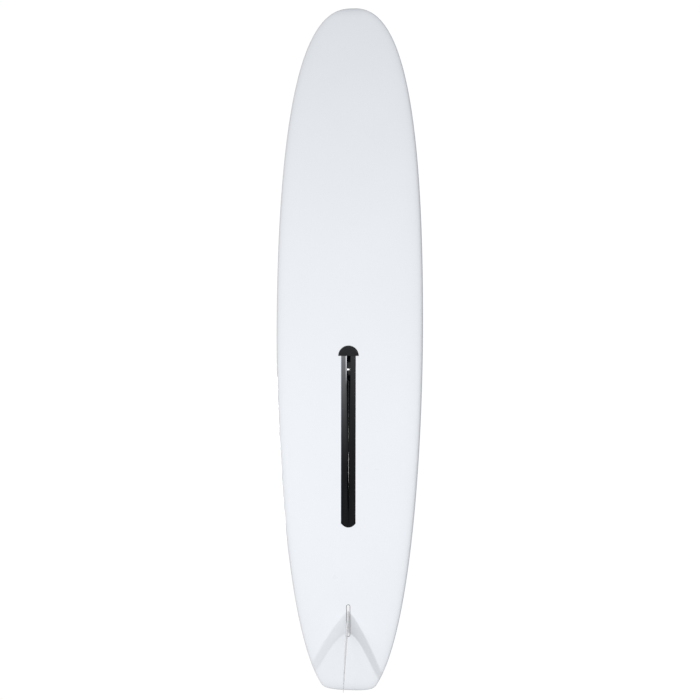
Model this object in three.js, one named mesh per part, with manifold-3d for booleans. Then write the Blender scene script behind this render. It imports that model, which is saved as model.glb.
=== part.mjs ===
// Stand up paddleboard with a pivoting daggerboard, a bolt-through tail fin and a mast track.
// Millimetres. +Y points to the nose, +X to starboard and +Z up through the deck. The hull is drawn
// with the lowest point of its bottom at z = 0, then the whole board is raised onto its fin tip.
import * as THREE from "three";
import { mergeVertices } from "three/addons/utils/BufferGeometryUtils.js";
import Module from "manifold-3d";

const wasm = await Module();
wasm.setup();

const GAP = 0.3; // left between pieces that touch
const FAR = 400; // past every surface, for solids that only cut or trim
const OVER = 9; // how far the hole for a fitting reaches above its surface

// Hull
const LENGTH = 3505;
const WIDTH = 746;
const THICKNESS = 140;
const HALF_LENGTH = LENGTH / 2;
const HALF_WIDTH = WIDTH / 2;
const NOSE_ROCKER = 140;
const NOSE_ROCKER_START = -200;
const TAIL_ROCKER = 25;
const TAIL_ROCKER_START = -600;
const NOSE_THINNING = 0.6; // share of the thickness lost at the nose tip
const TAIL_THINNING = 0.62;
const RAIL_LEVEL = 0.42; // share of the thickness below the widest line of the rail
const BOTTOM_POWER = 5.5; // superellipse powers of the cross-section: a flat bottom, a domed deck
const DECK_POWER = 2.8;
const END_RADIUS = 60; // how far the rounding of the nose and tail reaches
const END_POWER = 2.5;
const SECTION_SIDES = 20;
const WIDE_POINT = 100;
const TAIL_CORNER = [139, -1724];
const SKIN = 4;
const CORE_INSET = SKIN + 2 * GAP;
const STRINGER = 4;
const STRINGER_END = 20; // in from the tips of the nose and tail
const STRINGER_CLEAR = 3; // from the daggerboard case and the fin box

// Daggerboard and its well
const PIVOT = { y: -115, z: 75 };
const PIN_RADIUS = 4;
const PIN_HOLE = PIN_RADIUS + GAP;
const BUSH_RADIUS = 7;
const HEAD_RADIUS = 62;
const HEAD_HALF = 14; // half thickness of the head, its lever and their cheeks
const TANG = { y: -131, z: 76, length: 102, height: 74, corner: 20, half: 8 };
const LEVER_REACH = 150; // from the pivot to the top of the lever
const LEVER_WIDTH = 34;
const LEVER_BEVEL = 8;
const LEVER_PAD = 5;
const BLADE_ROOT = -178;
const BLADE_TIP = [-868, 62];
const BLADE_EDGE = 12; // height of the leading edge above the bottom, at rest
const BLADE_BACK = 126;
const BLADE_THICKNESS = 22;
const BLADE_TAPER = 0.45; // share of the thickness lost towards the tip
const EDGE_SCREW = { y: -287, radius: 3, length: 15, socket: 1.5, socketDepth: 2.5 };
const FRICTION_PAD = { radius: 40, bore: 10 };
const BUMPER = { width: 20, length: 10, height: 50, z: 62 };
const WELL_HALF = 16;
const WELL_WALL = 3;
const WELL_FRONT = -50;
const WELL_REAR = -895;
const HATCH_REAR = -300; // the well is open to the deck from its front to here
const WELL_ROOF_FRONT = 131;
const WELL_ROOF_REAR = 112;
const WELL_RIM = 137;
const WELL_LOW = 5;
const HEAD_SCREWS = [[-143, 98], [-143, 52], [-163, 75]];
const HEAD_SCREW_RADIUS = 2;

// Slot gasket on the bottom
const STRIP_HALF = 36.8;
const STRIP_FRONT = -53.6;
const STRIP_SIDE_END = -899;
const STRIP_END = -919;
const LIP = 2;
const FLANGE = 4; // thickness of the case's flange above the lips
const FLANGE_FRONT = STRIP_FRONT + 30;
const CAP_RADIUS = 51.5;
const CAP_PROUD = 1.5;
const MOUTH_HALF = 11; // half gap between the lips at the front, where the head parts them
const SLIT_HALF = 4.5; // half gap in the middle of the rear slit
const MOUTH_END = -505;
const SLIT_START = -526;
const SLIT_END = -846;

const FOIL_FULLNESS = 2.6; // makes the foil's section reach its half thickness at the widest point

// Fin, its box and its bolt
const FIN_BOX_Y = -1383;
const FIN_HEAD = { length: 171.4, width: 19.4, height: 30, draft: 2.5 };
const FIN_BOX = { length: 184, width: 32, height: 46, corner: 15.9 };
const FIN_LEADING = [[46, 1], [6, -75], [-190, -247], [-272, -262]];
const FIN_TRAILING = [[-70, 1], [-84, -130], [-299, -212], [-272, -262]];
const FIN_THICKNESS = 11;
const FIN_TAPER = 0.5;
const FIN_BOLT = { radius: 3, end: 9, head: 5.5, headHeight: 4.4, socket: 2.5, socketDepth: 3 };
const FIN_NUT = { radius: 6, length: 12, z: 17 };
const WASHER = { radius: 7, thickness: 1.2 };
const SLEEVE = { radius: 11, wall: 2.5, step: 3, seat: 9 };

// Deck fittings, centred on the middle line unless a place says otherwise
const HANDLE = { y: 75, width: 104, length: 116, corner: 22, depth: 46, wall: 3 };
const HANDLE_RIM = { reach: 12, corner: 30, lip: 2 };
const HANDLE_BAR = { width: 28, height: 16, drop: 3, corner: 8 };
const TRACK = { y: 310, length: 246, width: 32, corner: 10, depth: 30 };
const TRACK_RIM = { reach: 10, corner: 16, lip: 2 };
const TRACK_SLOT = { width: 10.4, length: 208, roof: 7 };
const TRACK_UNDER = { width: 21, length: 224, height: 9, corner: 4 };
const TRACK_ENTRY = { width: 23, length: 36, y: 88, corner: 4 };
const TRACK_NUT = { width: 20, length: 30, height: 6, corner: 3, hole: 4 };
const BEZEL = { y: -175, length: 304, width: 68, corner: 26, low: -2, high: 2 };
const HATCH = { length: 254, corner: 6 };
const BEZEL_SCREW = { x: 25, y: 92, radius: 2, head: 4, length: 15 };
const SOCKET = 0.45; // radius of a screw's hexagon socket, as a share of its head's
const PLUG = { radius: 14, flange: 20, depth: 16, lip: 2, wall: 2.5, pin: 2.5, pinDrop: 7 };
const TOW_PLUG_Y = 1500;
const LEASH_PLUG_Y = -1640;
const VENT = { y: 482, radius: 9, flange: 14, lip: 1, depth: 14, bore: 6, shaft: 20 };
const VENT_SEAT = { radius: 10.4, depth: 2.2 };
const VENT_CAP = { radius: 10, top: 2, low: -1.2, plug: 9 };
const VENT_SEAL = { radius: 7.6, thickness: 0.42, z: -1.7 };
const COIN_SLOT = { length: 12, width: 2, height: 2.4 };

// Deck pads
const PAD = 5;
const PAD_EDGE = 62; // in from the outline
const PAD_CHANNEL = 44; // half the bare strip that the fittings stand in
const PAD_MARGIN = 5; // around a fitting
const PAD_CORNER = 24;
const PAD_RAIL = 40; // the pads lie at least this far above the line of the rail
const PAD_END = -1660; // no pad reaches the tail's corners
const FRONT_PAD = { front: 630, rear: -334 };
const REAR_PAD = { front: -346, rear: -1180 };
const TAIL_PAD = { front: -1192, rear: -1560 };
const KICK = { front: -1500, rear: -1548, height: 20, half: 150 };

const paint = (color, roughness, metalness = 0) =>
  new THREE.MeshStandardMaterial({ color, roughness, metalness });
const GELCOAT = paint(0xeef1f6, 0.22);
const FOAM = paint(0xf6f5ef, 0.95);
const PLYWOOD = paint(0xc9a676, 0.7);
const BLACK_PLASTIC = paint(0x232527, 0.5);
const GASKET = paint(0x2b2f35, 0.35);
const BLADE_BLACK = paint(0x141517, 0.18);
const RUBBER = paint(0x2c2d2f, 0.85);
const FIN_WHITE = paint(0xe9eaee, 0.25);
const STEEL = paint(0xc6c9cd, 0.25, 1);
const BRASS = paint(0xb9984f, 0.35, 1);
const EVA = paint(0x8d949c, 0.9);
const EVA_DARK = paint(0x4a4f56, 0.9);

const point = (x, y) => new THREE.Vector2(x, y);
const bezier = (...ends) => new THREE.CubicBezierCurve(...ends.map(([x, y]) => point(x, y)));

// The outline's starboard half, from the nose tip to the middle of the tail
const WIDEST = [HALF_WIDTH, WIDE_POINT];
const OUTLINE = [
  [bezier([0, HALF_LENGTH], [173, HALF_LENGTH], [HALF_WIDTH, 1576], WIDEST), 18, 1.5],
  [bezier(WIDEST, [HALF_WIDTH, -489], [320, -1452], TAIL_CORNER), 12, 1],
  [bezier(TAIL_CORNER, [124, -1745], [80, -HALF_LENGTH], [0, -HALF_LENGTH]), 5, 1],
];

// ---- Geometry helpers ----

// A closed geometry as a solid that can be joined and cut.
function solid(geometry) {
  const loose = geometry.index ? geometry.toNonIndexed() : geometry;
  const bare = new THREE.BufferGeometry();
  bare.setAttribute("position", loose.getAttribute("position"));
  const merged = mergeVertices(bare, 1e-3);
  const triVerts = new Uint32Array(merged.index.array);
  return new wasm.Manifold(
    new wasm.Mesh({ numProp: 3, vertProperties: merged.attributes.position.array, triVerts }),
  );
}

// A solid as a flat-shaded geometry.
function geometryOf(made) {
  const { vertProperties, triVerts } = made.getMesh();
  const geometry = new THREE.BufferGeometry();
  geometry.setAttribute("position", new THREE.BufferAttribute(vertProperties, 3));
  geometry.setIndex(new THREE.BufferAttribute(triVerts, 1));
  const faces = geometry.toNonIndexed();
  faces.computeVertexNormals();
  return faces;
}

const join = (first, ...rest) => rest.reduce((whole, next) => whole.add(next), first);
const cut = (first, ...rest) => rest.reduce((whole, next) => whole.subtract(next), first);

function piece(name, material, made) {
  const mesh = new THREE.Mesh(geometryOf(made), material);
  mesh.name = name;
  return mesh;
}

// The closed surface through a row of rings, each a list of points. A ring of one point is a tip,
// and a wider ring at either end is closed by a fan.
function loft(rings) {
  const corners = [];
  const facet = (a, b, c) => corners.push(a, b, c);
  const middle = (ring) =>
    ring.reduce((sum, p) => sum.add(p), new THREE.Vector3()).divideScalar(ring.length);
  const closed = [[middle(rings[0])], ...rings, [middle(rings.at(-1))]].filter(
    (ring, i, all) => ring.length > 1 || i === 0 || i === all.length - 1,
  );
  for (let k = 0; k + 1 < closed.length; k += 1) {
    const [here, next] = [closed[k], closed[k + 1]];
    const count = Math.max(here.length, next.length);
    for (let i = 0; i < count; i += 1) {
      const j = (i + 1) % count;
      if (here.length > 1) facet(here[i], here[j], next[i % next.length]);
      if (next.length > 1) facet(here[j % here.length], next[j], next[i]);
    }
  }
  let volume = 0;
  for (let i = 0; i < corners.length; i += 3) {
    volume += corners[i].dot(corners[i + 1].clone().cross(corners[i + 2]));
  }
  if (volume < 0) corners.reverse();
  return solid(new THREE.BufferGeometry().setFromPoints(corners));
}

// A shape of the plan view, given height along Z.
function column(shape, low, high, curveSegments = 12) {
  const depth = high - low;
  const geometry = new THREE.ExtrudeGeometry(shape, { depth, bevelEnabled: false, curveSegments });
  return solid(geometry.translate(0, 0, low));
}

// A shape of the side view, whose coordinates are (y, z), given width along X.
const SIDE_VIEW = new THREE.Matrix4().makeBasis(
  new THREE.Vector3(0, 1, 0),
  new THREE.Vector3(0, 0, 1),
  new THREE.Vector3(1, 0, 0),
);
function slab(shape, from, to, curveSegments = 12) {
  const depth = to - from;
  const geometry = new THREE.ExtrudeGeometry(shape, { depth, bevelEnabled: false, curveSegments });
  return solid(geometry.translate(0, 0, from).applyMatrix4(SIDE_VIEW));
}

const polygon = (corners) => new THREE.Shape(corners.map(([x, y]) => point(x, y)));
const disc = (x, y, radius) => new THREE.Shape().absarc(x, y, radius, 0, 2 * Math.PI);

// A rectangle with round corners, about (0, y).
function rounded(width, length, radius, y = 0) {
  const [x, reach] = [width / 2 - radius, length / 2 - radius];
  return new THREE.Shape()
    .absarc(x, y + reach, radius, 0, Math.PI / 2)
    .absarc(-x, y + reach, radius, Math.PI / 2, Math.PI)
    .absarc(-x, y - reach, radius, Math.PI, 1.5 * Math.PI)
    .absarc(x, y - reach, radius, 1.5 * Math.PI, 2 * Math.PI);
}

// A turned solid about Z, from a profile of (radius, height) points that starts and ends on the axis.
function turned(profile, sides = 16) {
  const points = profile.map(([radius, height]) => point(radius, height));
  return solid(new THREE.LatheGeometry(points, sides).rotateX(Math.PI / 2));
}

const rod = (radius, low, high, sides = 16) =>
  turned([[0, low], [radius, low], [radius, high], [0, high]], sides);

// A solid drawn about the origin, as it lies inside a placed group.
function placed(made, group) {
  group.updateMatrix();
  return solid(geometryOf(made).applyMatrix4(group.matrix));
}

// ---- The hull's shape ----

function rocker(y) {
  const nose = Math.max(0, y - NOSE_ROCKER_START) / (HALF_LENGTH - NOSE_ROCKER_START);
  const tail = Math.max(0, TAIL_ROCKER_START - y) / (HALF_LENGTH + TAIL_ROCKER_START);
  return NOSE_ROCKER * nose ** 2 + TAIL_ROCKER * tail ** 2;
}

function thickness(y) {
  const thinning = y > 0 ? NOSE_THINNING : TAIL_THINNING;
  return THICKNESS * (1 - thinning * Math.abs(y / HALF_LENGTH) ** 3);
}

const railHeight = (y) => rocker(y) + RAIL_LEVEL * thickness(y);
const deckHeight = (y) => rocker(y) + thickness(y);

// The outline moved inwards by an inset. The stations lie closer together along the nose curve.
function outline(inset) {
  const moved = (curve, t) => {
    const tangent = curve.getTangent(t);
    return curve.getPoint(t).add(point(tangent.y, -tangent.x).multiplyScalar(inset));
  };
  const points = [];
  for (const [curve, steps, ease] of OUTLINE) {
    for (let i = 0; i < steps; i += 1) points.push(moved(curve, 1 - (1 - i / steps) ** ease));
  }
  points.push(moved(OUTLINE.at(-1)[0], 1));
  return points;
}

// One cross-section of the hull, inset all round.
function section({ x, y }, inset, stride) {
  const left = (HALF_LENGTH - inset - Math.abs(y)) / (END_RADIUS - inset);
  if (left < 1e-4) return [new THREE.Vector3(0, y, railHeight(y))];
  const closing = (1 - (1 - Math.min(left, 1)) ** END_POWER) ** (1 / END_POWER);
  const below = (RAIL_LEVEL * thickness(y) - inset) * closing;
  const above = ((1 - RAIL_LEVEL) * thickness(y) - inset) * closing;
  const swell = (value, power) => Math.sign(value) * Math.abs(value) ** (2 / power);
  const ring = [];
  for (let i = 0; i < SECTION_SIDES; i += stride) {
    const angle = (2 * Math.PI * i) / SECTION_SIDES;
    const down = Math.sin(angle) < 0;
    const power = down ? BOTTOM_POWER : DECK_POWER;
    const across = x * swell(Math.cos(angle), power);
    const up = (down ? below : above) * swell(Math.sin(angle), power);
    ring.push(new THREE.Vector3(across, y, railHeight(y) + up));
  }
  return ring;
}

const hull = (inset, stride = 1) =>
  loft(outline(inset).map((place) => section(place, inset, stride)));

// The space above or below the line of the rail, moved by an offset.
function railSide(offset, farHeight) {
  const line = outline(0).map(({ y }) => [y, railHeight(y) + offset]);
  const past = HALF_LENGTH + FAR;
  line.unshift([past, railHeight(HALF_LENGTH) + offset]);
  line.push([-past, railHeight(-HALF_LENGTH) + offset]);
  return slab(polygon([...line, [-past, farHeight], [past, farHeight]]), -WIDTH, WIDTH);
}

// A layer that follows the bottom of the hull, between two offsets from it.
function bottomLayer(low, high, front = 0, rear = -1000, step = 50) {
  const stations = [];
  for (let y = front; y >= rear; y -= step) stations.push(y);
  const under = stations.map((y) => [y, rocker(y) + low]);
  const over = stations.map((y) => [y, rocker(y) + high]).reverse();
  return slab(polygon([...under, ...over]), -WIDTH / 4, WIDTH / 4);
}

// A group that stands on a surface of the hull, tilted with it.
function standing(y, height) {
  const group = new THREE.Group();
  group.position.set(0, y, height(y));
  group.rotation.x = Math.atan((height(y + 1) - height(y - 1)) / 2);
  return group;
}

// ---- Fasteners and plugs ----

// A countersunk screw along Z with a hexagon socket, its head at z = 0.
function countersunk(radius, head, length) {
  const cone = head - radius;
  const body = turned([[0, -length], [radius, -length], [radius, -cone], [head, 0], [0, 0]], 10);
  return cut(body, rod(head * SOCKET, -cone, GAP, 6));
}

// The hole that a countersunk screw sits in.
function countersink(radius, head, length) {
  const low = -length - GAP;
  const bend = radius - head - GAP;
  const wide = [[head + GAP, 0], [head + GAP, OVER], [0, OVER]];
  return turned([[0, low], [radius + GAP, low], [radius + GAP, bend], ...wide], 10);
}

// Turns a solid drawn along Z so that it runs along X, at a point of the side view.
function across(made, y, z) {
  return solid(geometryOf(made).rotateY(Math.PI / 2).translate(0, y, z));
}

// A flanged cup with a bar across it, for a cord or a leash.
function barPlug(group, name, pinName) {
  const { radius, flange, depth, lip, wall, pin, pinDrop } = PLUG;
  const [inside, low, high] = [radius - wall, -lip / 2, lip / 2];
  const cup = turned([
    [0, -depth], [radius, -depth], [radius, low], [flange, low], [flange, high],
    [inside, high], [inside, wall - depth], [0, wall - depth],
  ], 20);
  const bar = (grow) => {
    const reach = radius - wall / 2 + grow;
    return across(rod(pin + grow, -reach, reach, 12), 0, -pinDrop);
  };
  group.add(piece(name, BLACK_PLASTIC, cut(cup, bar(GAP))), piece(pinName, STEEL, bar(0)));
  const hole = turned([
    [0, -depth - GAP], [radius + GAP, -depth - GAP], [radius + GAP, low - GAP],
    [flange + GAP, low - GAP], [flange + GAP, OVER], [0, OVER],
  ], 20);
  return placed(hole, group);
}

// ---- Deck fittings: each adds its pieces to its group and returns the hole it needs ----

// A rounded block, wider by `grow` all round, from below the group's surface to a height.
function block({ width, length, corner }, grow, low, high, y = 0) {
  return column(rounded(width + 2 * grow, length + 2 * grow, corner + grow, y), low, high, 5);
}

// The flange around a fitting's body, half sunk in the surface.
function rimOf({ width, length }, { reach, corner, lip }, grow, high) {
  const size = { width: width + 2 * reach, length: length + 2 * reach, corner };
  return block(size, grow, -lip / 2 - grow, high);
}

function handle(group) {
  const { depth, wall } = HANDLE;
  const top = HANDLE_RIM.lip / 2;
  const barTop = -HANDLE_BAR.drop;
  const hollow = block(HANDLE, -wall, wall - depth, OVER);
  const cup = cut(join(block(HANDLE, 0, -depth, 0), rimOf(HANDLE, HANDLE_RIM, 0, top)), hollow);
  const barSize = { ...HANDLE_BAR, length: HANDLE.length };
  const bar = (grow) => block(barSize, grow, barTop - HANDLE_BAR.height - grow, barTop + grow);
  group.add(
    piece("handle_cup", BLACK_PLASTIC, cut(cup, bar(GAP))),
    piece("handle_bar", RUBBER, bar(0)),
  );
  const body = block(HANDLE, GAP, -depth - GAP, OVER);
  return placed(join(body, rimOf(HANDLE, HANDLE_RIM, GAP, OVER)), group);
}

function mastTrack(group) {
  const top = TRACK_RIM.lip / 2;
  const roof = -TRACK_SLOT.roof;
  const floor = roof - TRACK_UNDER.height;
  const mouth = block({ ...TRACK_SLOT, corner: TRACK_SLOT.width / 2 }, 0, roof - GAP, OVER);
  const entry = block(TRACK_ENTRY, 0, roof - GAP, OVER, TRACK_ENTRY.y);
  const under = block(TRACK_UNDER, 0, floor, roof);
  const outside = join(block(TRACK, 0, -TRACK.depth, 0), rimOf(TRACK, TRACK_RIM, 0, top));
  const nut = block(TRACK_NUT, 0, floor + GAP, floor + GAP + TRACK_NUT.height);
  group.add(
    piece("mast_track", BLACK_PLASTIC, cut(outside, mouth, entry, under)),
    piece("mast_track_nut", BRASS, cut(nut, rod(TRACK_NUT.hole, floor, 0))),
  );
  const body = block(TRACK, GAP, -TRACK.depth - GAP, OVER);
  return placed(join(body, rimOf(TRACK, TRACK_RIM, GAP, OVER)), group);
}

function vent(group) {
  const { radius, flange, lip, depth, bore, shaft } = VENT;
  const body = turned([
    [bore, -depth], [radius, -depth], [radius, -lip], [flange, -lip], [flange, lip],
    [VENT_SEAT.radius, lip], [VENT_SEAT.radius, -VENT_SEAT.depth], [bore, -VENT_SEAT.depth],
    [bore, -depth],
  ], 20);
  const { low, top, plug } = VENT_CAP;
  const cap = turned([
    [0, -plug], [bore - GAP, -plug], [bore - GAP, low], [VENT_CAP.radius, low],
    [VENT_CAP.radius, top], [0, top],
  ], 20);
  const ring = new THREE.TorusGeometry(VENT_SEAL.radius, VENT_SEAL.thickness, 6, 16);
  const coinSlot = new THREE.BoxGeometry(COIN_SLOT.length, COIN_SLOT.width, COIN_SLOT.height);
  group.add(
    piece("vent_body", BLACK_PLASTIC, body),
    piece("vent_cap", BLACK_PLASTIC, cut(cap, solid(coinSlot.translate(0, 0, top)))),
    piece("vent_o_ring", RUBBER, solid(ring.translate(0, 0, VENT_SEAL.z))),
  );
  const hole = turned([
    [0, -shaft], [radius + GAP, -shaft], [radius + GAP, -lip - GAP],
    [flange + GAP, -lip - GAP], [flange + GAP, OVER], [0, OVER],
  ], 20);
  return placed(hole, group);
}

function daggerBezel(group) {
  const { low, high } = BEZEL;
  const { x: right, y: end, radius, head, length } = BEZEL_SCREW;
  const hatch = block({ ...HATCH, width: 2 * WELL_HALF }, 0, -OVER, OVER);
  const screws = [];
  for (const [side, x] of [["port", -right], ["starboard", right]]) {
    for (const [place, y] of [["front", end], ["rear", -end]]) {
      screws.push({ name: `bezel_screw_${side}_${place}`, x, y });
    }
  }
  const sunk = (made, { x, y }) => solid(geometryOf(made).translate(x, y, high));
  const holes = screws.map((place) => sunk(countersink(radius, head, length), place));
  group.add(piece("dagger_bezel", BLACK_PLASTIC, cut(block(BEZEL, 0, low, high), hatch, ...holes)));
  for (const place of screws) {
    group.add(piece(place.name, STEEL, sunk(countersunk(radius, head, length), place)));
  }
  return placed(join(block(BEZEL, GAP, low - GAP, OVER), ...holes), group);
}

// ---- Daggerboard ----

function wellShape(grow, low, high) {
  return polygon([
    [WELL_FRONT + grow, low], [WELL_FRONT + grow, high],
    [HATCH_REAR - grow, high], [HATCH_REAR - grow, WELL_ROOF_FRONT + grow],
    [WELL_REAR - grow, WELL_ROOF_REAR + grow], [WELL_REAR - grow, low],
  ]);
}

// The plan of the gasket strip: straight sides, a square front and a bowed rear end.
function stripShape(grow, front = STRIP_FRONT) {
  const x = STRIP_HALF + grow;
  const shape = new THREE.Shape().moveTo(x, front + grow).lineTo(-x, front + grow);
  shape.lineTo(-x, STRIP_SIDE_END - grow);
  shape.quadraticCurveTo(0, 2 * STRIP_END - STRIP_SIDE_END - grow, x, STRIP_SIDE_END - grow);
  return shape;
}

function daggerCase() {
  const reach = WELL_HALF + WELL_WALL;
  const outer = slab(wellShape(WELL_WALL, WELL_LOW, WELL_RIM), -reach, reach);
  const well = slab(wellShape(0, -FAR, FAR), -WELL_HALF, WELL_HALF);
  const layer = bottomLayer(LIP + GAP, LIP + GAP + FLANGE);
  const flange = column(stripShape(0, FLANGE_FRONT), -FAR, FAR, 6).intersect(layer);
  const pinHole = across(rod(PIN_HOLE, -FAR, FAR), PIVOT.y, PIVOT.z);
  return piece("dagger_case", BLACK_PLASTIC, cut(join(outer, flange), well, pinHole));
}

function daggerCaseHole() {
  const reach = WELL_HALF + WELL_WALL + GAP;
  const outer = slab(wellShape(WELL_WALL + GAP, 0, FAR), -reach, reach);
  const flange = column(stripShape(GAP, FLANGE_FRONT), -FAR, FAR, 6);
  const strip = column(stripShape(GAP), -FAR, FAR, 6);
  return join(
    outer,
    flange.intersect(bottomLayer(LIP, LIP + FLANGE + 2 * GAP)),
    strip.intersect(bottomLayer(-FAR, LIP + FLANGE)),
  );
}

// One gasket lip. Its inner edge is parted at the front by the head, and again by a narrow slit aft.
function gasketLip(name, side) {
  const middle = (SLIT_START + SLIT_END) / 2;
  const shape = new THREE.Shape().moveTo(side * WIDTH, STRIP_FRONT);
  shape.lineTo(side * WIDTH, -HALF_LENGTH);
  shape.lineTo(side * GAP, -HALF_LENGTH);
  shape.lineTo(side * GAP, SLIT_END);
  shape.quadraticCurveTo(side * (2 * SLIT_HALF - GAP), middle, side * GAP, SLIT_START);
  shape.lineTo(side * GAP, MOUTH_END);
  shape.quadraticCurveTo(side * MOUTH_HALF, MOUTH_END / 2, side * MOUTH_HALF, STRIP_FRONT);
  const strip = column(stripShape(0), -FAR, FAR, 6).intersect(column(shape, -FAR, FAR, 8));
  return piece(name, GASKET, strip.intersect(bottomLayer(0, LIP)));
}

function gasketCapShape(grow) {
  return new THREE.Shape()
    .moveTo(CAP_RADIUS + grow, STRIP_FRONT + GAP - grow)
    .absarc(0, STRIP_FRONT + GAP, CAP_RADIUS + grow, 0, Math.PI)
    .lineTo(-CAP_RADIUS - grow, STRIP_FRONT + GAP - grow);
}
const capLayer = (grow, low, high) =>
  column(gasketCapShape(grow), -FAR, FAR, 16).intersect(bottomLayer(low, high));
const gasketCap = () => piece("gasket_nose_cap", BLACK_PLASTIC, capLayer(0, -CAP_PROUD, LIP));
const gasketCapHole = () => capLayer(GAP, -FAR, LIP + GAP);

// A symmetrical foil between two edge curves of the side view, closed at their far end.
function foil(leading, trailing, halfThickness, steps, sides = 16) {
  const rings = [];
  for (let k = 0; k < steps; k += 1) {
    const t = 1 - (1 - k / steps) ** 1.5;
    const [front, back] = [leading.getPoint(t), trailing.getPoint(t)];
    const ring = [];
    for (let i = 0; i < sides; i += 1) {
      const angle = (2 * Math.PI * i) / sides;
      const chord = (1 - Math.cos(angle)) / 2;
      const swell = FOIL_FULLNESS * Math.sqrt(chord) * (1 - chord);
      const spot = front.clone().lerp(back, chord);
      const out = Math.sign(Math.round(Math.sin(angle) * 1e6)) * halfThickness(t) * swell;
      ring.push(new THREE.Vector3(out, spot.x, spot.y));
    }
    rings.push(ring);
  }
  const tip = leading.getPoint(1);
  rings.push([new THREE.Vector3(0, tip.x, tip.y)]);
  return loft(rings);
}

function tang(grow) {
  const shape = rounded(TANG.length + 2 * grow, TANG.height + 2 * grow, TANG.corner + grow);
  const depth = 2 * (TANG.half + grow);
  const geometry = new THREE.ExtrudeGeometry(shape, { depth, bevelEnabled: false, curveSegments: 4 });
  return solid(geometry.translate(TANG.y, TANG.z, -depth / 2).applyMatrix4(SIDE_VIEW));
}

const bladeEdge = bezier([BLADE_ROOT, BLADE_EDGE], [-560, BLADE_EDGE], [-868, 2], BLADE_TIP);
const bladeBack = bezier([BLADE_ROOT, BLADE_BACK], [-480, 122], [-868, 119], BLADE_TIP);

const atPivot = (made) => across(made, PIVOT.y, PIVOT.z);
const pinHole = (grow) => atPivot(rod(PIN_HOLE + grow, -FAR, FAR));
const headScrewHoles = (grow) =>
  HEAD_SCREWS.map(([y, z]) => across(rod(HEAD_SCREW_RADIUS + grow, -FAR, FAR, 12), y, z));
const atBladeEdge = (made) =>
  solid(geometryOf(made).translate(0, EDGE_SCREW.y, BLADE_EDGE + 1));

function daggerBlade() {
  const half = (t) => (BLADE_THICKNESS / 2) * (1 - BLADE_TAPER * t) * Math.sqrt(1 - t ** 4);
  const blade = join(foil(bladeEdge, bladeBack, half, 16), tang(0));
  const { radius, length } = EDGE_SCREW;
  const screwHole = atBladeEdge(rod(radius + GAP, -OVER, length + GAP, 12));
  return piece("dagger_blade", BLADE_BLACK, cut(blade, pinHole(GAP), screwHole, ...headScrewHoles(GAP)));
}

function bladeEdgeScrew() {
  const { radius, length, socket, socketDepth } = EDGE_SCREW;
  const made = cut(rod(radius, 0, length, 12), rod(socket, -OVER, socketDepth, 6));
  return piece("blade_edge_screw", STEEL, atBladeEdge(made));
}

function daggerHead() {
  const wheel = slab(disc(PIVOT.y, PIVOT.z, HEAD_RADIUS), -HEAD_HALF, HEAD_HALF, 20);
  const [front, rear] = [PIVOT.y + LEVER_WIDTH / 2, PIVOT.y - LEVER_WIDTH / 2];
  const top = PIVOT.z + LEVER_REACH - LEVER_PAD - GAP;
  const lever = polygon([
    [rear, PIVOT.z], [front, PIVOT.z], [front, top - LEVER_BEVEL], [front - LEVER_BEVEL, top],
    [rear + LEVER_BEVEL, top], [rear, top - LEVER_BEVEL],
  ]);
  const body = join(wheel, slab(lever, -HEAD_HALF, HEAD_HALF));
  const bore = atPivot(rod(BUSH_RADIUS + GAP, -FAR, FAR));
  return piece("dagger_head", BLACK_PLASTIC, cut(body, tang(GAP), bore, ...headScrewHoles(GAP)));
}

function leverPad() {
  const size = [2 * (HEAD_HALF - 2), LEVER_WIDTH - 2 * LEVER_BEVEL, LEVER_PAD];
  const middle = PIVOT.z + LEVER_REACH - LEVER_PAD / 2;
  const made = new THREE.BoxGeometry(...size).translate(0, PIVOT.y, middle);
  return piece("lever_pad", RUBBER, solid(made));
}

function headScrews() {
  const end = HEAD_HALF - 1;
  const hexagon = rod(HEAD_SCREW_RADIUS / 2, end - HEAD_SCREW_RADIUS, FAR, 6);
  const made = cut(rod(HEAD_SCREW_RADIUS, -end, end, 12), hexagon);
  return HEAD_SCREWS.map(([y, z], i) => piece(`head_screw_${i + 1}`, STEEL, across(made, y, z)));
}

function pivotPieces() {
  const reach = WELL_HALF + WELL_WALL;
  const pieces = [piece("pivot_pin", STEEL, atPivot(rod(PIN_RADIUS, -reach, reach)))];
  for (const [side, sign] of [["port", -1], ["starboard", 1]]) {
    const ring = (radius, bore, near, far, sides) => {
      const [from, to] = [sign * near, sign * far].sort((a, b) => a - b);
      return atPivot(cut(rod(radius, from, to, sides), rod(bore, -FAR, FAR)));
    };
    const bush = ring(BUSH_RADIUS, PIN_HOLE, TANG.half + 2 * GAP, HEAD_HALF - GAP, 16);
    const { radius, bore } = FRICTION_PAD;
    const pad = ring(radius, bore, HEAD_HALF + GAP, WELL_HALF - GAP, 24);
    pieces.push(
      piece(`pivot_bush_${side}`, BRASS, bush),
      piece(`friction_pad_${side}`, RUBBER, pad),
    );
  }
  return pieces;
}

function tipBumper() {
  const { width, length, height, z } = BUMPER;
  const made = new THREE.BoxGeometry(width, length, height);
  return piece("tip_bumper", RUBBER, solid(made.translate(0, WELL_REAR + GAP + length / 2, z)));
}

// ---- Fin ----

// The fin's head: a block with round ends that narrows as it rises.
function finHead(grow, low, high) {
  const { length, width, height, draft } = FIN_HEAD;
  const ring = (z) => {
    const wider = grow - (draft * z) / height;
    return rounded(width + 2 * wider, length + 2 * wider, width / 2 + wider - 0.01)
      .getPoints(6)
      .map(({ x, y }) => new THREE.Vector3(x, y, z));
  };
  return loft([ring(low), ring(high)]);
}

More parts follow.
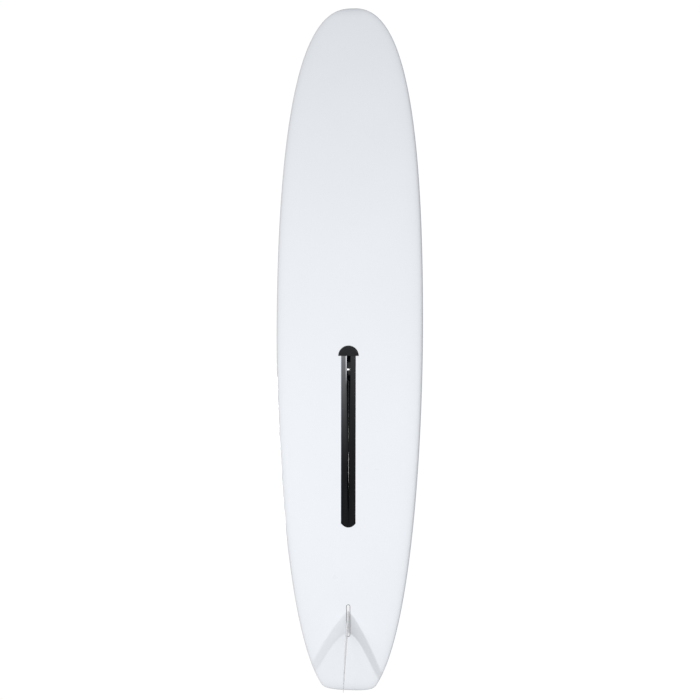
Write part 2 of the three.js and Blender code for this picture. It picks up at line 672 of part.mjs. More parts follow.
function finPieces(group) {
  const half = (t) => (FIN_THICKNESS / 2) * (1 - FIN_TAPER * t) * Math.sqrt(1 - t ** 4);
  const blade = foil(bezier(...FIN_LEADING), bezier(...FIN_TRAILING), half, 12);
  const head = finHead(0, GAP, FIN_HEAD.height);
  const { radius, length, z } = FIN_NUT;
  const boltHole = rod(FIN_BOLT.radius + GAP, FIN_BOLT.end - GAP, FAR, 12);
  const nutHole = across(rod(radius + GAP, -FAR, FAR), 0, z);
  const nut = cut(across(rod(radius, -length / 2, length / 2), 0, z), boltHole);
  const cavity = finHead(GAP, -OVER, FIN_HEAD.height + GAP);
  const box = (grow, low, high) => block(FIN_BOX, grow, low, high);
  group.add(
    piece("fin", FIN_WHITE, cut(join(head, blade), nutHole, boltHole)),
    piece("fin_nut", BRASS, nut),
    piece("fin_box", GELCOAT, cut(box(0, 0, FIN_BOX.height), cavity, boltHole)),
  );
  return placed(box(GAP, -OVER, FIN_BOX.height + GAP), group);
}

function finBoltPieces(group) {
  const top = (deckHeight(FIN_BOX_Y) - rocker(FIN_BOX_Y)) / Math.cos(group.rotation.x);
  const low = FIN_BOX.height + GAP;
  const seat = top - SLEEVE.seat;
  const shoulder = seat - SLEEVE.step;
  const bore = FIN_BOLT.radius + GAP;
  const neck = SLEEVE.radius - SLEEVE.step;
  const rim = SLEEVE.radius - SLEEVE.wall;
  const sleeve = turned([
    [bore, low], [neck, low], [neck, shoulder], [SLEEVE.radius, shoulder], [SLEEVE.radius, top],
    [rim, top], [rim, seat], [bore, seat], [bore, low],
  ]);
  const washerTop = seat + GAP + WASHER.thickness;
  const washer = cut(rod(WASHER.radius, seat + GAP, washerTop), rod(bore, 0, FAR, 12));
  const under = washerTop + GAP;
  const { radius, end, head, headHeight, socket, socketDepth } = FIN_BOLT;
  const bolt = turned([
    [0, end], [radius, end], [radius, under], [head, under], [head, under + headHeight],
    [0, under + headHeight],
  ]);
  const hexagon = rod(socket, under + headHeight - socketDepth, FAR, 6);
  group.add(
    piece("fin_bolt_sleeve", BLACK_PLASTIC, sleeve),
    piece("fin_bolt_washer", STEEL, washer),
    piece("fin_bolt", STEEL, cut(bolt, hexagon)),
  );
  const hole = turned([
    [0, low - GAP], [neck + GAP, low - GAP], [neck + GAP, shoulder - GAP],
    [SLEEVE.radius + GAP, shoulder - GAP], [SLEEVE.radius + GAP, top + OVER], [0, top + OVER],
  ]);
  return placed(hole, group);
}

// ---- Hull pieces ----

// What lies of a solid between two places along X or along Y.
function between(made, [left, right], [front, rear]) {
  const box = new THREE.BoxGeometry(right - left, front - rear, 2 * FAR);
  return made.intersect(solid(box.translate((left + right) / 2, (front + rear) / 2, 0)));
}

function hullPieces(holes) {
  const shell = cut(hull(0), hull(SKIN));
  const core = cut(hull(CORE_INSET, 2), holes);
  const ends = [LENGTH, -LENGTH];
  const edge = STRINGER / 2 + GAP;
  const boxEnd = FIN_BOX.length / 2 + STRINGER_CLEAR;
  const stringer = (name, front, rear) =>
    piece(name, PLYWOOD, between(core, [-STRINGER / 2, STRINGER / 2], [front, rear]));
  return [
    piece("bottom_shell", GELCOAT, cut(shell, railSide(-GAP / 2, FAR), holes)),
    piece("deck_shell", GELCOAT, cut(shell, railSide(GAP / 2, -FAR), holes)),
    piece("core_port", FOAM, between(core, [-WIDTH, -edge], ends)),
    piece("core_starboard", FOAM, between(core, [edge, WIDTH], ends)),
    stringer("stringer_front", HALF_LENGTH - STRINGER_END, WELL_FRONT + WELL_WALL + STRINGER_CLEAR),
    stringer("stringer_rear", STRIP_END - STRINGER_CLEAR, FIN_BOX_Y + boxEnd),
    stringer("stringer_tail", FIN_BOX_Y - boxEnd, STRINGER_END - HALF_LENGTH),
  ];
}

// ---- Deck pads ----

function padPieces(fittings) {
  const layer = cut(hull(-PAD - GAP), hull(-GAP), railSide(PAD_RAIL, -FAR));
  const onTop = cut(hull(-PAD - KICK.height), hull(-PAD - 2 * GAP), railSide(PAD_RAIL, -FAR));
  const inner = outline(PAD_EDGE)
    .filter(({ x, y }) => x > 1 && y > PAD_END)
    .map(({ x, y }) => [x, y]);
  const mirrored = inner.map(([x, y]) => [-x, y]).reverse();
  const plan = column(polygon([...inner, ...mirrored]), 0, FAR);
  const band = ({ front, rear }, from, to) => {
    const made = column(rounded(to - from, front - rear, PAD_CORNER), 0, FAR, 5);
    return solid(geometryOf(made).translate((from + to) / 2, (front + rear) / 2, 0));
  };
  const pad = (name, material, span, from, to) =>
    piece(name, material, cut(layer.intersect(plan).intersect(band(span, from, to)), ...fittings));
  const kick = onTop.intersect(plan).intersect(band(KICK, -KICK.half, KICK.half));
  return [
    pad("deck_pad_port", EVA, FRONT_PAD, -WIDTH, -PAD_CHANNEL),
    pad("deck_pad_starboard", EVA, FRONT_PAD, PAD_CHANNEL, WIDTH),
    pad("deck_pad_rear", EVA, REAR_PAD, -WIDTH, WIDTH),
    pad("tail_pad", EVA_DARK, TAIL_PAD, -WIDTH, WIDTH),
    piece("tail_kick", EVA_DARK, kick),
  ];
}

// ---- Assembly ----

const board = new THREE.Group();
const handleGroup = standing(HANDLE.y, deckHeight);
const trackGroup = standing(TRACK.y, deckHeight);
const bezelGroup = standing(BEZEL.y, deckHeight);
const ventGroup = standing(VENT.y, deckHeight);
const towGroup = standing(TOW_PLUG_Y, deckHeight);
const leashGroup = standing(LEASH_PLUG_Y, deckHeight);
const finGroup = standing(FIN_BOX_Y, rocker);

const holes = join(
  handle(handleGroup),
  mastTrack(trackGroup),
  daggerBezel(bezelGroup),
  vent(ventGroup),
  barPlug(towGroup, "nose_tow_plug", "nose_tow_pin"),
  barPlug(leashGroup, "leash_plug", "leash_pin"),
  finPieces(finGroup),
  finBoltPieces(finGroup),
  daggerCaseHole(),
  gasketCapHole(),
);

const clearOfHandle = block(HANDLE, HANDLE_RIM.reach + PAD_MARGIN, 0, FAR, HANDLE.y);
const clearOfSleeve = column(disc(0, FIN_BOX_Y, SLEEVE.radius + PAD_MARGIN), 0, FAR);

board.add(
  ...hullPieces(holes),
  ...padPieces([clearOfHandle, clearOfSleeve]),
  daggerCase(),
  gasketLip("gasket_lip_port", -1),
  gasketLip("gasket_lip_starboard", 1),
  gasketCap(),
  daggerBlade(),
  daggerHead(),
  leverPad(),
  bladeEdgeScrew(),
  ...headScrews(),
  ...pivotPieces(),
  tipBumper(),
  handleGroup, trackGroup, bezelGroup, ventGroup, towGroup, leashGroup, finGroup,
);

const raised = new THREE.Group();
raised.add(board);
board.position.z = -new THREE.Box3().setFromObject(board, true).min.z;

export default raised;
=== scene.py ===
# Stand up paddleboard seen from below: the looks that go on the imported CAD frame. Metres, +Y to the nose,
# +X to starboard and +Z up through the deck. Shape constants are the CAD model's own, in millimetres.
import math

import bmesh
import bpy
import numpy as np
from mathutils import Matrix, Vector
from mathutils.bvhtree import BVHTree


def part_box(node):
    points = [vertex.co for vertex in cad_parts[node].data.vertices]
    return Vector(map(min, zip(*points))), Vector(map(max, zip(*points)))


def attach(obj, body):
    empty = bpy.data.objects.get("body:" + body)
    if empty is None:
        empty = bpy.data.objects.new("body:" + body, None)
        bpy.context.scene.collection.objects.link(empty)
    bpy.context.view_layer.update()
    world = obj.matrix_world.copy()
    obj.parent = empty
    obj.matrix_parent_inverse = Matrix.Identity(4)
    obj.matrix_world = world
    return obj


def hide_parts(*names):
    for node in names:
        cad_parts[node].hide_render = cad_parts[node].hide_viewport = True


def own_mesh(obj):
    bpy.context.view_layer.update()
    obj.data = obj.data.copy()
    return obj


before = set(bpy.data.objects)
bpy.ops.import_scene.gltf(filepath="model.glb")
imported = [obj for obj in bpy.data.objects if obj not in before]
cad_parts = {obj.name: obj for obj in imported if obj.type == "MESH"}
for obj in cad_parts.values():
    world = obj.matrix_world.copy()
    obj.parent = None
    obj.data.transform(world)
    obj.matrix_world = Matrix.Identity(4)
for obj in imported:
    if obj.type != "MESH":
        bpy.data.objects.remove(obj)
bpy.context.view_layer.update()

MM = 0.001
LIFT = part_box("gasket_lip_port")[0][2] / MM  # height of the lowest point of the hull's bottom

# ---- The hull's shape, as in the CAD model ----

HALF_LENGTH = 1752.5
HALF_WIDTH = 373
THICKNESS = 140
NOSE_ROCKER, NOSE_ROCKER_START = 140, -200
TAIL_ROCKER, TAIL_ROCKER_START = 25, -600
NOSE_THINNING, TAIL_THINNING = 0.6, 0.62
RAIL_LEVEL = 0.42
BOTTOM_POWER, DECK_POWER = 5.5, 2.8
END_RADIUS, END_POWER = 60, 2.5
WIDEST, TAIL_CORNER = (HALF_WIDTH, 100), (139, -1724)
OUTLINE = [  # cubic Bezier ends, steps and how much closer the steps lie towards the end
    (((0, HALF_LENGTH), (173, HALF_LENGTH), (HALF_WIDTH, 1576), WIDEST), 130, 1.5),
    ((WIDEST, (HALF_WIDTH, -489), (320, -1452), TAIL_CORNER), 90, 1.0),
    ((TAIL_CORNER, (124, -1745), (80, -HALF_LENGTH), (0, -HALF_LENGTH)), 40, 1.0),
]
HULL_SIDES = 160
PAD_TAIL_END = -1700

# Places and sizes of the fittings
PIVOT_Y, PIVOT_Z = -115, 75
HEAD_RADIUS, HEAD_HALF, LEVER_WIDTH, LEVER_TOP = 62, 14, 34, 144.7
STRIP_HALF, STRIP_FRONT, STRIP_SIDE_END, STRIP_END = 36.8, -53.6, -899, -919
MOUTH_HALF, MOUTH_END = 10, -505
SLIT_HALF, SLIT_START, SLIT_END = 4.5, -526, -846
CAP_RADIUS = 51.5
FIN_BOX_Y = -1383
FIN_LEADING = ((43, 1), (4, -75), (-196, -247), (-281, -262))
FIN_TRAILING = ((-70, 1), (-84, -130), (-304, -212), (-281, -262))
HEAD_SHIFT = -8  # of the fin's head and its seal, aft of the middle of the fin box
FIN_HALF, FIN_TAPER = 5.5, 0.5

# Plan shapes of the fin box's parts: width, length and corner radius
HEAD_HOLE = (20.4, 164.6, 10.19)
SEAL_OUTER, SEAL_INNER = (20.3, 164.5, 10.1), (16.3, 160.5, 8.1)
FIN_HEAD_ROOT, FIN_HEAD_TOP = (16.0, 160.2, 7.99), (13.0, 157.2, 6.49)
BOX_OUTER, BOX_INNER = (31.5, 183.5, 15.7), (14.0, 158.2, 6.9)
BOX_TOP = 46

# Rooms in the hull for what it carries
CASE_HALF, CASE_FRONT, CASE_REAR, CASE_ROOF = 19.3, -46.7, -898, 114
HATCH_REAR, HATCH_TOP = -302, 300
STRIP_DEPTH, CAP_DEPTH, BOTTOM_CLEAR = 6.6, 3.1, -20
RECESS = 0.25  # clearance of the strip and the cap in the bottom
OVER = 12  # how far a room reaches above the deck

HANDLE_Y, TRACK_Y, BEZEL_Y, VENT_Y = 75, 310, -175, 482
TOW_PLUG_Y, LEASH_PLUG_Y = 1500, -1640
GAP = 0.3  # left between pieces that touch
PAD, PAD_EDGE, PAD_CHANNEL, PAD_CORNER = 5, 62, 44, 24
PAD_RADIUS = 2.2  # of the pads' top edges
FRONT_PAD, REAR_PAD, TAIL_PAD = (630, -334), (-346, -1180), (-1192, -1560)
KICK_SPAN, KICK_HALF, KICK_HEIGHT = (-1500, -1548), 150, 20


def rocker(y):
    nose = max(0, y - NOSE_ROCKER_START) / (HALF_LENGTH - NOSE_ROCKER_START)
    tail = max(0, TAIL_ROCKER_START - y) / (HALF_LENGTH + TAIL_ROCKER_START)
    return NOSE_ROCKER * nose**2 + TAIL_ROCKER * tail**2


def thickness(y):
    thinning = NOSE_THINNING if y > 0 else TAIL_THINNING
    return THICKNESS * (1 - thinning * abs(y / HALF_LENGTH) ** 3)


def rail_height(y):
    return rocker(y) + RAIL_LEVEL * thickness(y)


def deck_height(y):
    return rocker(y) + thickness(y)


def closing(y):
    """How much of the thickness is left this near an end of the board."""
    left = min(max((HALF_LENGTH - abs(y)) / END_RADIUS, 0), 1)
    return (1 - (1 - left) ** END_POWER) ** (1 / END_POWER)


def bezier(ends, t):
    weights = ((1 - t) ** 3, 3 * t * (1 - t) ** 2, 3 * t**2 * (1 - t), t**3)
    return [sum(w * end[i] for w, end in zip(weights, ends)) for i in (0, 1)]


def outline():
    """Points of the starboard outline, from the nose tip to the middle of the tail."""
    points = []
    for ends, steps, ease in OUTLINE:
        points += [bezier(ends, 1 - (1 - i / steps) ** ease) for i in range(steps)]
    return points + [list(OUTLINE[-1][0][-1])]


OUTLINE_POINTS = np.array(outline())


def half_width(y):
    return float(np.interp(y, OUTLINE_POINTS[::-1, 1], OUTLINE_POINTS[::-1, 0]))


def deck_at(x, y):
    share = min(abs(x) / half_width(y), 1)
    crown = (1 - share**DECK_POWER) ** (1 / DECK_POWER)
    return rail_height(y) + (1 - RAIL_LEVEL) * thickness(y) * closing(y) * crown


# ---- Mesh helpers, all in millimetres until the object is made ----

def make(name, points, faces, material, place=None, sharp=35):
    """A mesh object from points in mm, lifted to the frame and set in a fitting's own place."""
    mesh = bpy.data.meshes.new(name)
    mesh.from_pydata([tuple(p) for p in points], [], faces)
    mesh.transform(place or Matrix.Translation((0, 0, LIFT)))
    mesh.transform(Matrix.Scale(MM, 4))
    clean = bmesh.new()
    clean.from_mesh(mesh)
    bmesh.ops.remove_doubles(clean, verts=clean.verts, dist=1e-6)
    bmesh.ops.recalc_face_normals(clean, faces=clean.faces)
    clean.to_mesh(mesh)
    clean.free()
    obj = bpy.data.objects.new(name, mesh)
    bpy.context.scene.collection.objects.link(obj)
    if material:
        mesh.materials.append(material)
    shade(obj, sharp)
    return obj


def shade(obj, sharp=35):
    obj.data.polygons.foreach_set("use_smooth", [True] * len(obj.data.polygons))
    obj.data.set_sharp_from_angle(angle=math.radians(sharp))


def bridge(rings, closed=False):
    """Points and faces of the surface through rings of equal length, capped unless it closes on itself."""
    count = len(rings[0])
    points = [p for ring in rings for p in ring]
    faces = []
    for k in range(len(rings) if closed else len(rings) - 1):
        here, there = k * count, (k + 1) % len(rings) * count
        for i in range(count):
            j = (i + 1) % count
            faces.append((here + i, here + j, there + j, there + i))
    if not closed:
        faces.append(tuple(range(count))[::-1])
        faces.append(tuple(range(len(points) - count, len(points))))
    return points, faces


def rounded(width, length, radius, z, y=0, steps=10):
    """A ring with round corners about (0, y) at a height."""
    ring = []
    reach_x, reach_y = width / 2 - radius, length / 2 - radius
    for quarter, (sx, sy) in enumerate(((1, 1), (-1, 1), (-1, -1), (1, -1))):
        for i in range(steps + 1):
            angle = (quarter + i / steps) * math.pi / 2
            ring.append((sx * reach_x + radius * math.cos(angle),
                         y + sy * reach_y + radius * math.sin(angle), z))
    return ring


def stack(name, levels, material, place=None, closed=False):
    """A piece through levels of (width, length, corner radius, height[, shift along Y])."""
    rings = [rounded(*level) for level in levels]
    return make(name, *bridge(rings, closed), material, place)


def turned(name, profile, material, place=None, sides=48, closed=False):
    """A piece turned about Z through (radius, height) points."""
    ring = lambda r, z: [
        (r * math.cos(2 * math.pi * i / sides), r * math.sin(2 * math.pi * i / sides), z)
        for i in range(sides)
    ]
    return make(name, *bridge([ring(max(r, 0.01), z) for r, z in profile], closed), material, place)


def settled(obj):
    """Applies the object's modifiers to its mesh."""
    graph = bpy.context.evaluated_depsgraph_get()
    mesh = bpy.data.meshes.new_from_object(obj.evaluated_get(graph))
    obj.modifiers.clear()
    obj.data = mesh
    return obj


def cut(obj, *cutters, sharp=35):
    """Takes the cutters away from the object, and removes them."""
    for cutter in cutters:
        change = obj.modifiers.new("cut", "BOOLEAN")
        change.operation = "DIFFERENCE"
        change.solver = "MANIFOLD"
        change.object = cutter
        settled(obj)
        bpy.data.objects.remove(cutter)
    shade(obj, sharp)
    return obj


SOFTENED_ANGLE = math.radians(30)


def soften(obj, width=0.5, segments=3, sharp=35):
    """Rounds the edges that turn more than SOFTENED_ANGLE."""
    change = obj.modifiers.new("edge", "BEVEL")
    change.width = width * MM
    change.segments = segments
    change.limit_method = "ANGLE"
    change.angle_limit = SOFTENED_ANGLE
    change.miter_outer = "MITER_ARC"
    change.use_clamp_overlap = True
    settled(obj)
    shade(obj, sharp)
    return obj


def standing(y, height):
    """The place of a fitting that stands on a surface of the hull, tilted with it."""
    slope = math.atan((height(y + 1) - height(y - 1)) / 2)
    return Matrix.Translation((0, y, height(y) + LIFT)) @ Matrix.Rotation(slope, 4, "X")


def along_x(y=0, z=0, place=None):
    """The place of a piece drawn along Z that runs along X."""
    start = place or Matrix.Translation((0, 0, LIFT))
    return start @ Matrix.Translation((0, y, z)) @ Matrix.Rotation(math.pi / 2, 4, "Y")


# ---- Materials ----

def material(name, color, roughness, metallic=0.0, tint=0.04, tint_scale=25, grain=0.0, grain_scale=900,
             spread=0.06, coat=0.0, coat_roughness=0.1, stretch=(1, 1, 1), cells=False, specular=0.5):
    """A surface whose colour drifts a little, with roughness and fine relief from their own noises."""
    made = bpy.data.materials.new(name)
    made.use_nodes = True
    nodes, links = made.node_tree.nodes, made.node_tree.links
    surface = nodes["Principled BSDF"]
    surface.inputs["Metallic"].default_value = metallic
    surface.inputs["Coat Weight"].default_value = coat
    surface.inputs["Coat Roughness"].default_value = coat_roughness
    surface.inputs["Specular IOR Level"].default_value = specular
    where = nodes.new("ShaderNodeTexCoord")
    mapping = nodes.new("ShaderNodeMapping")
    mapping.inputs["Scale"].default_value = stretch
    links.new(where.outputs["Object"], mapping.inputs["Vector"])

    def noise(scale, detail):
        node = nodes.new("ShaderNodeTexNoise")
        node.inputs["Scale"].default_value = scale
        node.inputs["Detail"].default_value = detail
        links.new(mapping.outputs["Vector"], node.inputs["Vector"])
        return node

    drift = noise(tint_scale, 4)
    ramp = nodes.new("ShaderNodeValToRGB")
    ramp.color_ramp.elements[0].position = 0.3
    ramp.color_ramp.elements[1].position = 0.7
    ramp.color_ramp.elements[0].color = (*[c * (1 - tint) for c in color], 1)
    ramp.color_ramp.elements[1].color = (*[min(c * (1 + tint), 1) for c in color], 1)
    links.new(drift.outputs["Fac"], ramp.inputs["Fac"])
    links.new(ramp.outputs["Color"], surface.inputs["Base Color"])
    polish = nodes.new("ShaderNodeMapRange")
    polish.inputs["To Min"].default_value = max(roughness - spread, 0.02)
    polish.inputs["To Max"].default_value = min(roughness + spread, 1)
    links.new(noise(tint_scale * 3, 3).outputs["Fac"], polish.inputs["Value"])
    links.new(polish.outputs["Result"], surface.inputs["Roughness"])
    if grain:
        if cells:
            fine = nodes.new("ShaderNodeTexVoronoi")
            fine.inputs["Scale"].default_value = grain_scale
            links.new(mapping.outputs["Vector"], fine.inputs["Vector"])
            relief = fine.outputs["Distance"]
        else:
            relief = noise(grain_scale, 3).outputs["Fac"]
        bump = nodes.new("ShaderNodeBump")
        bump.inputs["Strength"].default_value = 0.6
        bump.inputs["Distance"].default_value = grain * MM
        links.new(relief, bump.inputs["Height"])
        links.new(bump.outputs["Normal"], surface.inputs["Normal"])
    return made


GELCOAT = material("gelcoat", (0.80, 0.825, 0.865), 0.3, tint=0.006, tint_scale=3, grain=0.02,
                   grain_scale=140, spread=0.05, coat=0.25, coat_roughness=0.12)
FIN_WHITE = material("fin_laminate", (0.82, 0.825, 0.84), 0.28, tint=0.02, tint_scale=40, grain=0.02,
                     grain_scale=500, coat=0.3)
BLACK = material("black_plastic", (0.018, 0.0185, 0.020), 0.6, tint=0.2, grain=0.12, grain_scale=1400,
                 specular=0.22)
GASKET = material("gasket_rubber", (0.0055, 0.006, 0.0075), 0.4, tint=0.25, tint_scale=60, grain=0.03,
                  grain_scale=600, stretch=(1, 0.12, 1), specular=0.2)
BLADE = material("blade_laminate", (0.007, 0.008, 0.010), 0.16, tint=0.3, tint_scale=60, grain=0.25,
                 grain_scale=38, spread=0.05, coat=0.8, coat_roughness=0.06)
RUBBER = material("rubber", (0.026, 0.027, 0.029), 0.8, tint=0.15, grain=0.1, grain_scale=1800)
# A dark seal ring in the fin box; its dark colour also stands in for the shade in the gap around the fin's
# head.
SEAL_GAP_SHADE = material("box_seal_gap_shade", (0.030, 0.031, 0.034), 0.6, tint=0.1)
STEEL = material("stainless", (0.62, 0.63, 0.65), 0.26, 1.0, tint=0.08, tint_scale=300, grain=0.02,
                 grain_scale=900, stretch=(1, 8, 1))
BRASS = material("brass", (0.55, 0.40, 0.16), 0.32, 1.0, tint=0.12, tint_scale=200, grain=0.02)
EVA = material("eva_grey", (0.245, 0.27, 0.30), 0.88, tint=0.09, tint_scale=220, grain=0.35,
               grain_scale=900, cells=True, specular=0.3)
EVA_DARK = material("eva_dark", (0.062, 0.072, 0.086), 0.88, tint=0.12, tint_scale=220, grain=0.35,
                    grain_scale=900, cells=True, specular=0.3)
FOAM = material("foam_core", (0.86, 0.86, 0.82), 0.95, tint=0.05, tint_scale=300, grain=0.8,
                grain_scale=260, cells=True)
PLYWOOD = material("plywood", (0.50, 0.33, 0.17), 0.65, tint=0.25, tint_scale=14, grain=0.1,
                   grain_scale=260, stretch=(1, 0.08, 6))

# Colour and spread of the painted sheen on the gasket, lighter to its front and most on the starboard lip.
SHEEN_COLOR = (0.165, 0.170, 0.180)
SHEEN_RUN, SHEEN_POWER = (-0.70, -0.05), 2.2  # from the rear to the front, in metres
SHEEN_ACROSS, SHEEN_SHARES = (-0.004, 0.016), (0.15, 0.95)  # from the port lip to the starboard lip
# Where the painted glint lies across the starboard lip's inner edge and along it, and how strong it is.
GLINT_START, GLINT_STOP = (0.0090, 0.0097), (0.0130, 0.0142)  # across the starboard lip's inner edge
GLINT_RUN, GLINT_SHARES = (-0.20, -0.055), (0, 6.0)


def paint_gasket_sheen(look, color):
    """Paints light on the gasket: a painted sheen lighter to its front, most on the starboard lip, and a
    painted glint along that lip's inner edge.
    """
    nodes, links = look.node_tree.nodes, look.node_tree.links
    surface = nodes["Principled BSDF"]
    rubber_color = surface.inputs["Base Color"].links[0].from_socket
    parts = nodes.new("ShaderNodeSeparateXYZ")
    where = next(node for node in nodes if node.type == "TEX_COORD")
    links.new(where.outputs["Object"], parts.inputs["Vector"])

    def ramp(axis, span, shares):
        node = nodes.new("ShaderNodeMapRange")
        limits = {"From Min": span[0], "From Max": span[1], "To Min": shares[0], "To Max": shares[1]}
        for socket, value in limits.items():
            node.inputs[socket].default_value = value
        links.new(parts.outputs[axis], node.inputs["Value"])
        return node.outputs["Result"]

    def math_node(operation, first, second):
        node = nodes.new("ShaderNodeMath")
        node.operation = operation
        links.new(first, node.inputs[0])
        if isinstance(second, float):
            node.inputs[1].default_value = second
        else:
            links.new(second, node.inputs[1])
        return node.outputs["Value"]

    forward = math_node("POWER", ramp("Y", SHEEN_RUN, (0, 1)), SHEEN_POWER)
    painted_light = math_node("MULTIPLY", forward, ramp("X", SHEEN_ACROSS, SHEEN_SHARES))
    across = math_node("MULTIPLY", ramp("X", GLINT_START, (0, 1)), ramp("X", GLINT_STOP, (1, 0)))
    painted_glint = math_node("MULTIPLY", across, ramp("Y", GLINT_RUN, GLINT_SHARES))
    painted_light = math_node("ADD", painted_light, painted_glint)
    mix = nodes.new("ShaderNodeMix")
    mix.data_type = "RGBA"
    mix.clamp_factor = False
    links.new(painted_light, mix.inputs["Factor"])
    links.new(rubber_color, mix.inputs["A"])
    mix.inputs["B"].default_value = (*color, 1)
    links.new(mix.outputs["Result"], surface.inputs["Base Color"])


# Paints sheen and a glint on the gasket rubber.
paint_gasket_sheen(GASKET, SHEEN_COLOR)


def belongs(obj, *nodes, body="board"):
    """Puts a piece on its body, in the place of the CAD nodes it stands for, which it hides."""
    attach(obj, body)
    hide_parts(*nodes)
    return obj


# ---- Hull ----

def hull_ring(x, y):
    below = RAIL_LEVEL * thickness(y) * closing(y)
    above = (1 - RAIL_LEVEL) * thickness(y) * closing(y)
    ring = []
    for i in range(HULL_SIDES):
        angle = 2 * math.pi * (i + 0.5) / HULL_SIDES
        across, up = math.cos(angle), math.sin(angle)
        power = 2 / (BOTTOM_POWER if up < 0 else DECK_POWER)
        height = (below if up < 0 else above) * math.copysign(abs(up) ** power, up)
        ring.append((x * math.copysign(abs(across) ** power, across), y, rail_height(y) + height))
    return ring


def hull_body():
    rings = [hull_ring(x, y) for x, y in OUTLINE_POINTS[1:-1]]
    points, faces = bridge(rings)
    faces = faces[:-2]
    for end, ring_start in ((HALF_LENGTH, 0), (-HALF_LENGTH, len(points) - HULL_SIDES)):
        tip = len(points)
        points.append((0, end, rail_height(end)))
        faces += [(tip, ring_start + i, ring_start + (i + 1) % HULL_SIDES) for i in range(HULL_SIDES)]
    return make("hull_skin", points, faces, GELCOAT, sharp=180)


def bottom_prism(name, ring, low, high):
    """A cutter or piece under the hull whose plan is the ring, from one height to another."""
    return make(name, *bridge([[(x, y, low) for x, y in ring], [(x, y, high) for x, y in ring]]), None)


STRIP_END_STEPS, CAP_STEPS = 16, 48


def strip_ring(grow=0.0):
    """The gasket strip's outline, with its bowed rear end."""
    x = STRIP_HALF + grow
    ring = [(x, STRIP_FRONT + grow), (-x, STRIP_FRONT + grow)]
    for i in range(STRIP_END_STEPS + 1):
        share = i / STRIP_END_STEPS
        bow = 4 * share * (1 - share) * (STRIP_END - STRIP_SIDE_END)
        ring.append((-x + 2 * x * share, STRIP_SIDE_END - grow + bow))
    return ring


def cap_ring(grow=0.0):
    """The cap's round front."""
    radius = CAP_RADIUS + grow
    arc = [math.pi * i / CAP_STEPS for i in range(CAP_STEPS + 1)]
    return [(radius * math.cos(a), STRIP_FRONT + 0.3 + radius * math.sin(a)) for a in arc]


def well(rear, top):
    """A cutter for the daggerboard case, from the front of the case to a rear end."""
    plan = ((CASE_HALF, CASE_FRONT), (-CASE_HALF, CASE_FRONT), (-CASE_HALF, rear), (CASE_HALF, rear))
    return make("well_room", *bridge([[(x, y, z) for x, y in plan] for z in (3, top)]), None)


def bottom_rooms():
    """Cutters for what stands in the bottom: strip, cap, case and fin."""
    cap_sides = [(-CAP_RADIUS - RECESS, STRIP_FRONT), (CAP_RADIUS + RECESS, STRIP_FRONT)]
    return [
        bottom_prism("strip_room", strip_ring(RECESS), BOTTOM_CLEAR, STRIP_DEPTH),
        bottom_prism("cap_room", cap_ring(RECESS) + cap_sides, BOTTOM_CLEAR, CAP_DEPTH),
        well(HATCH_REAR, HATCH_TOP),
        well(CASE_REAR, CASE_ROOF),
        stack("fin_room", in_fin_box(HEAD_HOLE, -12, 47), None, standing(FIN_BOX_Y, rocker)),
    ]


def deck_rooms():
    """Cutters for the fittings in the deck, each with a shallow step for its flange."""
    bolt_top = (deck_height(FIN_BOX_Y) - rocker(FIN_BOX_Y)) * 1.0004
    rooms = [
        stack("handle_room", [(103.9, 115.9, 22, -46.5), (103.9, 115.9, 22, -1.3), (128.4, 140.4, 30, -1.3),
                              (128.4, 140.4, 30, OVER)], None, standing(HANDLE_Y, deck_height)),
        stack("track_room", [(32.5, 246.5, 10, -30.5), (32.5, 246.5, 10, -1.3), (52.5, 266.5, 16, -1.3),
                             (52.5, 266.5, 16, OVER)], None, standing(TRACK_Y, deck_height)),
        stack("bezel_room", [(68.5, 304.5, 26, -2.2), (68.5, 304.5, 26, OVER)], None,
              standing(BEZEL_Y, deck_height)),
        turned("vent_room", [(0, -16), (9.2, -16), (9.2, -1.2), (14.2, -1.2), (14.2, 9), (0, 9)], None,
               standing(VENT_Y, deck_height)),
        turned("bolt_room", [(0, bolt_top - 40), (11.2, bolt_top - 40), (11.2, bolt_top + 9),
                             (0, bolt_top + 9)], None, standing(FIN_BOX_Y, rocker)),
    ]
    plug = [(0, -16.5), (14.3, -16.5), (14.3, -1.3), (20.2, -1.3), (20.2, 9), (0, 9)]
    for y in (TOW_PLUG_Y, LEASH_PLUG_Y):
        rooms.append(turned("plug_room", plug, None, standing(y, deck_height)))
    return rooms


def hull_skin():
    hull = hull_body()
    smooth = BVHTree.FromObject(hull, bpy.context.evaluated_depsgraph_get())
    smooth_normals = [v.normal.copy() for v in hull.data.vertices]
    smooth_faces = [list(p.vertices) for p in hull.data.polygons]
    smooth_points = [v.co.copy() for v in hull.data.vertices]
    cut(hull, *bottom_rooms(), *deck_rooms(), sharp=180)
    keep_normals(hull, smooth, smooth_points, smooth_faces, smooth_normals)
    return hull


def keep_normals(obj, tree, points, faces, normals):
    """Gives the outer skin the uncut hull's own normals, so that the cuts leave no mark in its shading."""
    mesh = obj.data
    custom = []
    for face in mesh.polygons:
        _, flat, _, away = tree.find_nearest(face.center)
        outer = away < 0.4 * MM and flat.dot(face.normal) > 0.97
        for corner in face.vertices:
            if not outer:
                custom.append(face.normal[:])
                continue
            spot = mesh.vertices[corner].co
            near, _, index, _ = tree.find_nearest(spot)
            weights = [1 / ((points[v] - near).length + 1e-7) ** 2 for v in faces[index]]
            blended = sum((normals[v] * w for v, w in zip(faces[index], weights)), Vector())
            custom.append(blended.normalized()[:])
    mesh.normals_split_custom_set(custom)


# ---- Gasket and cap ----

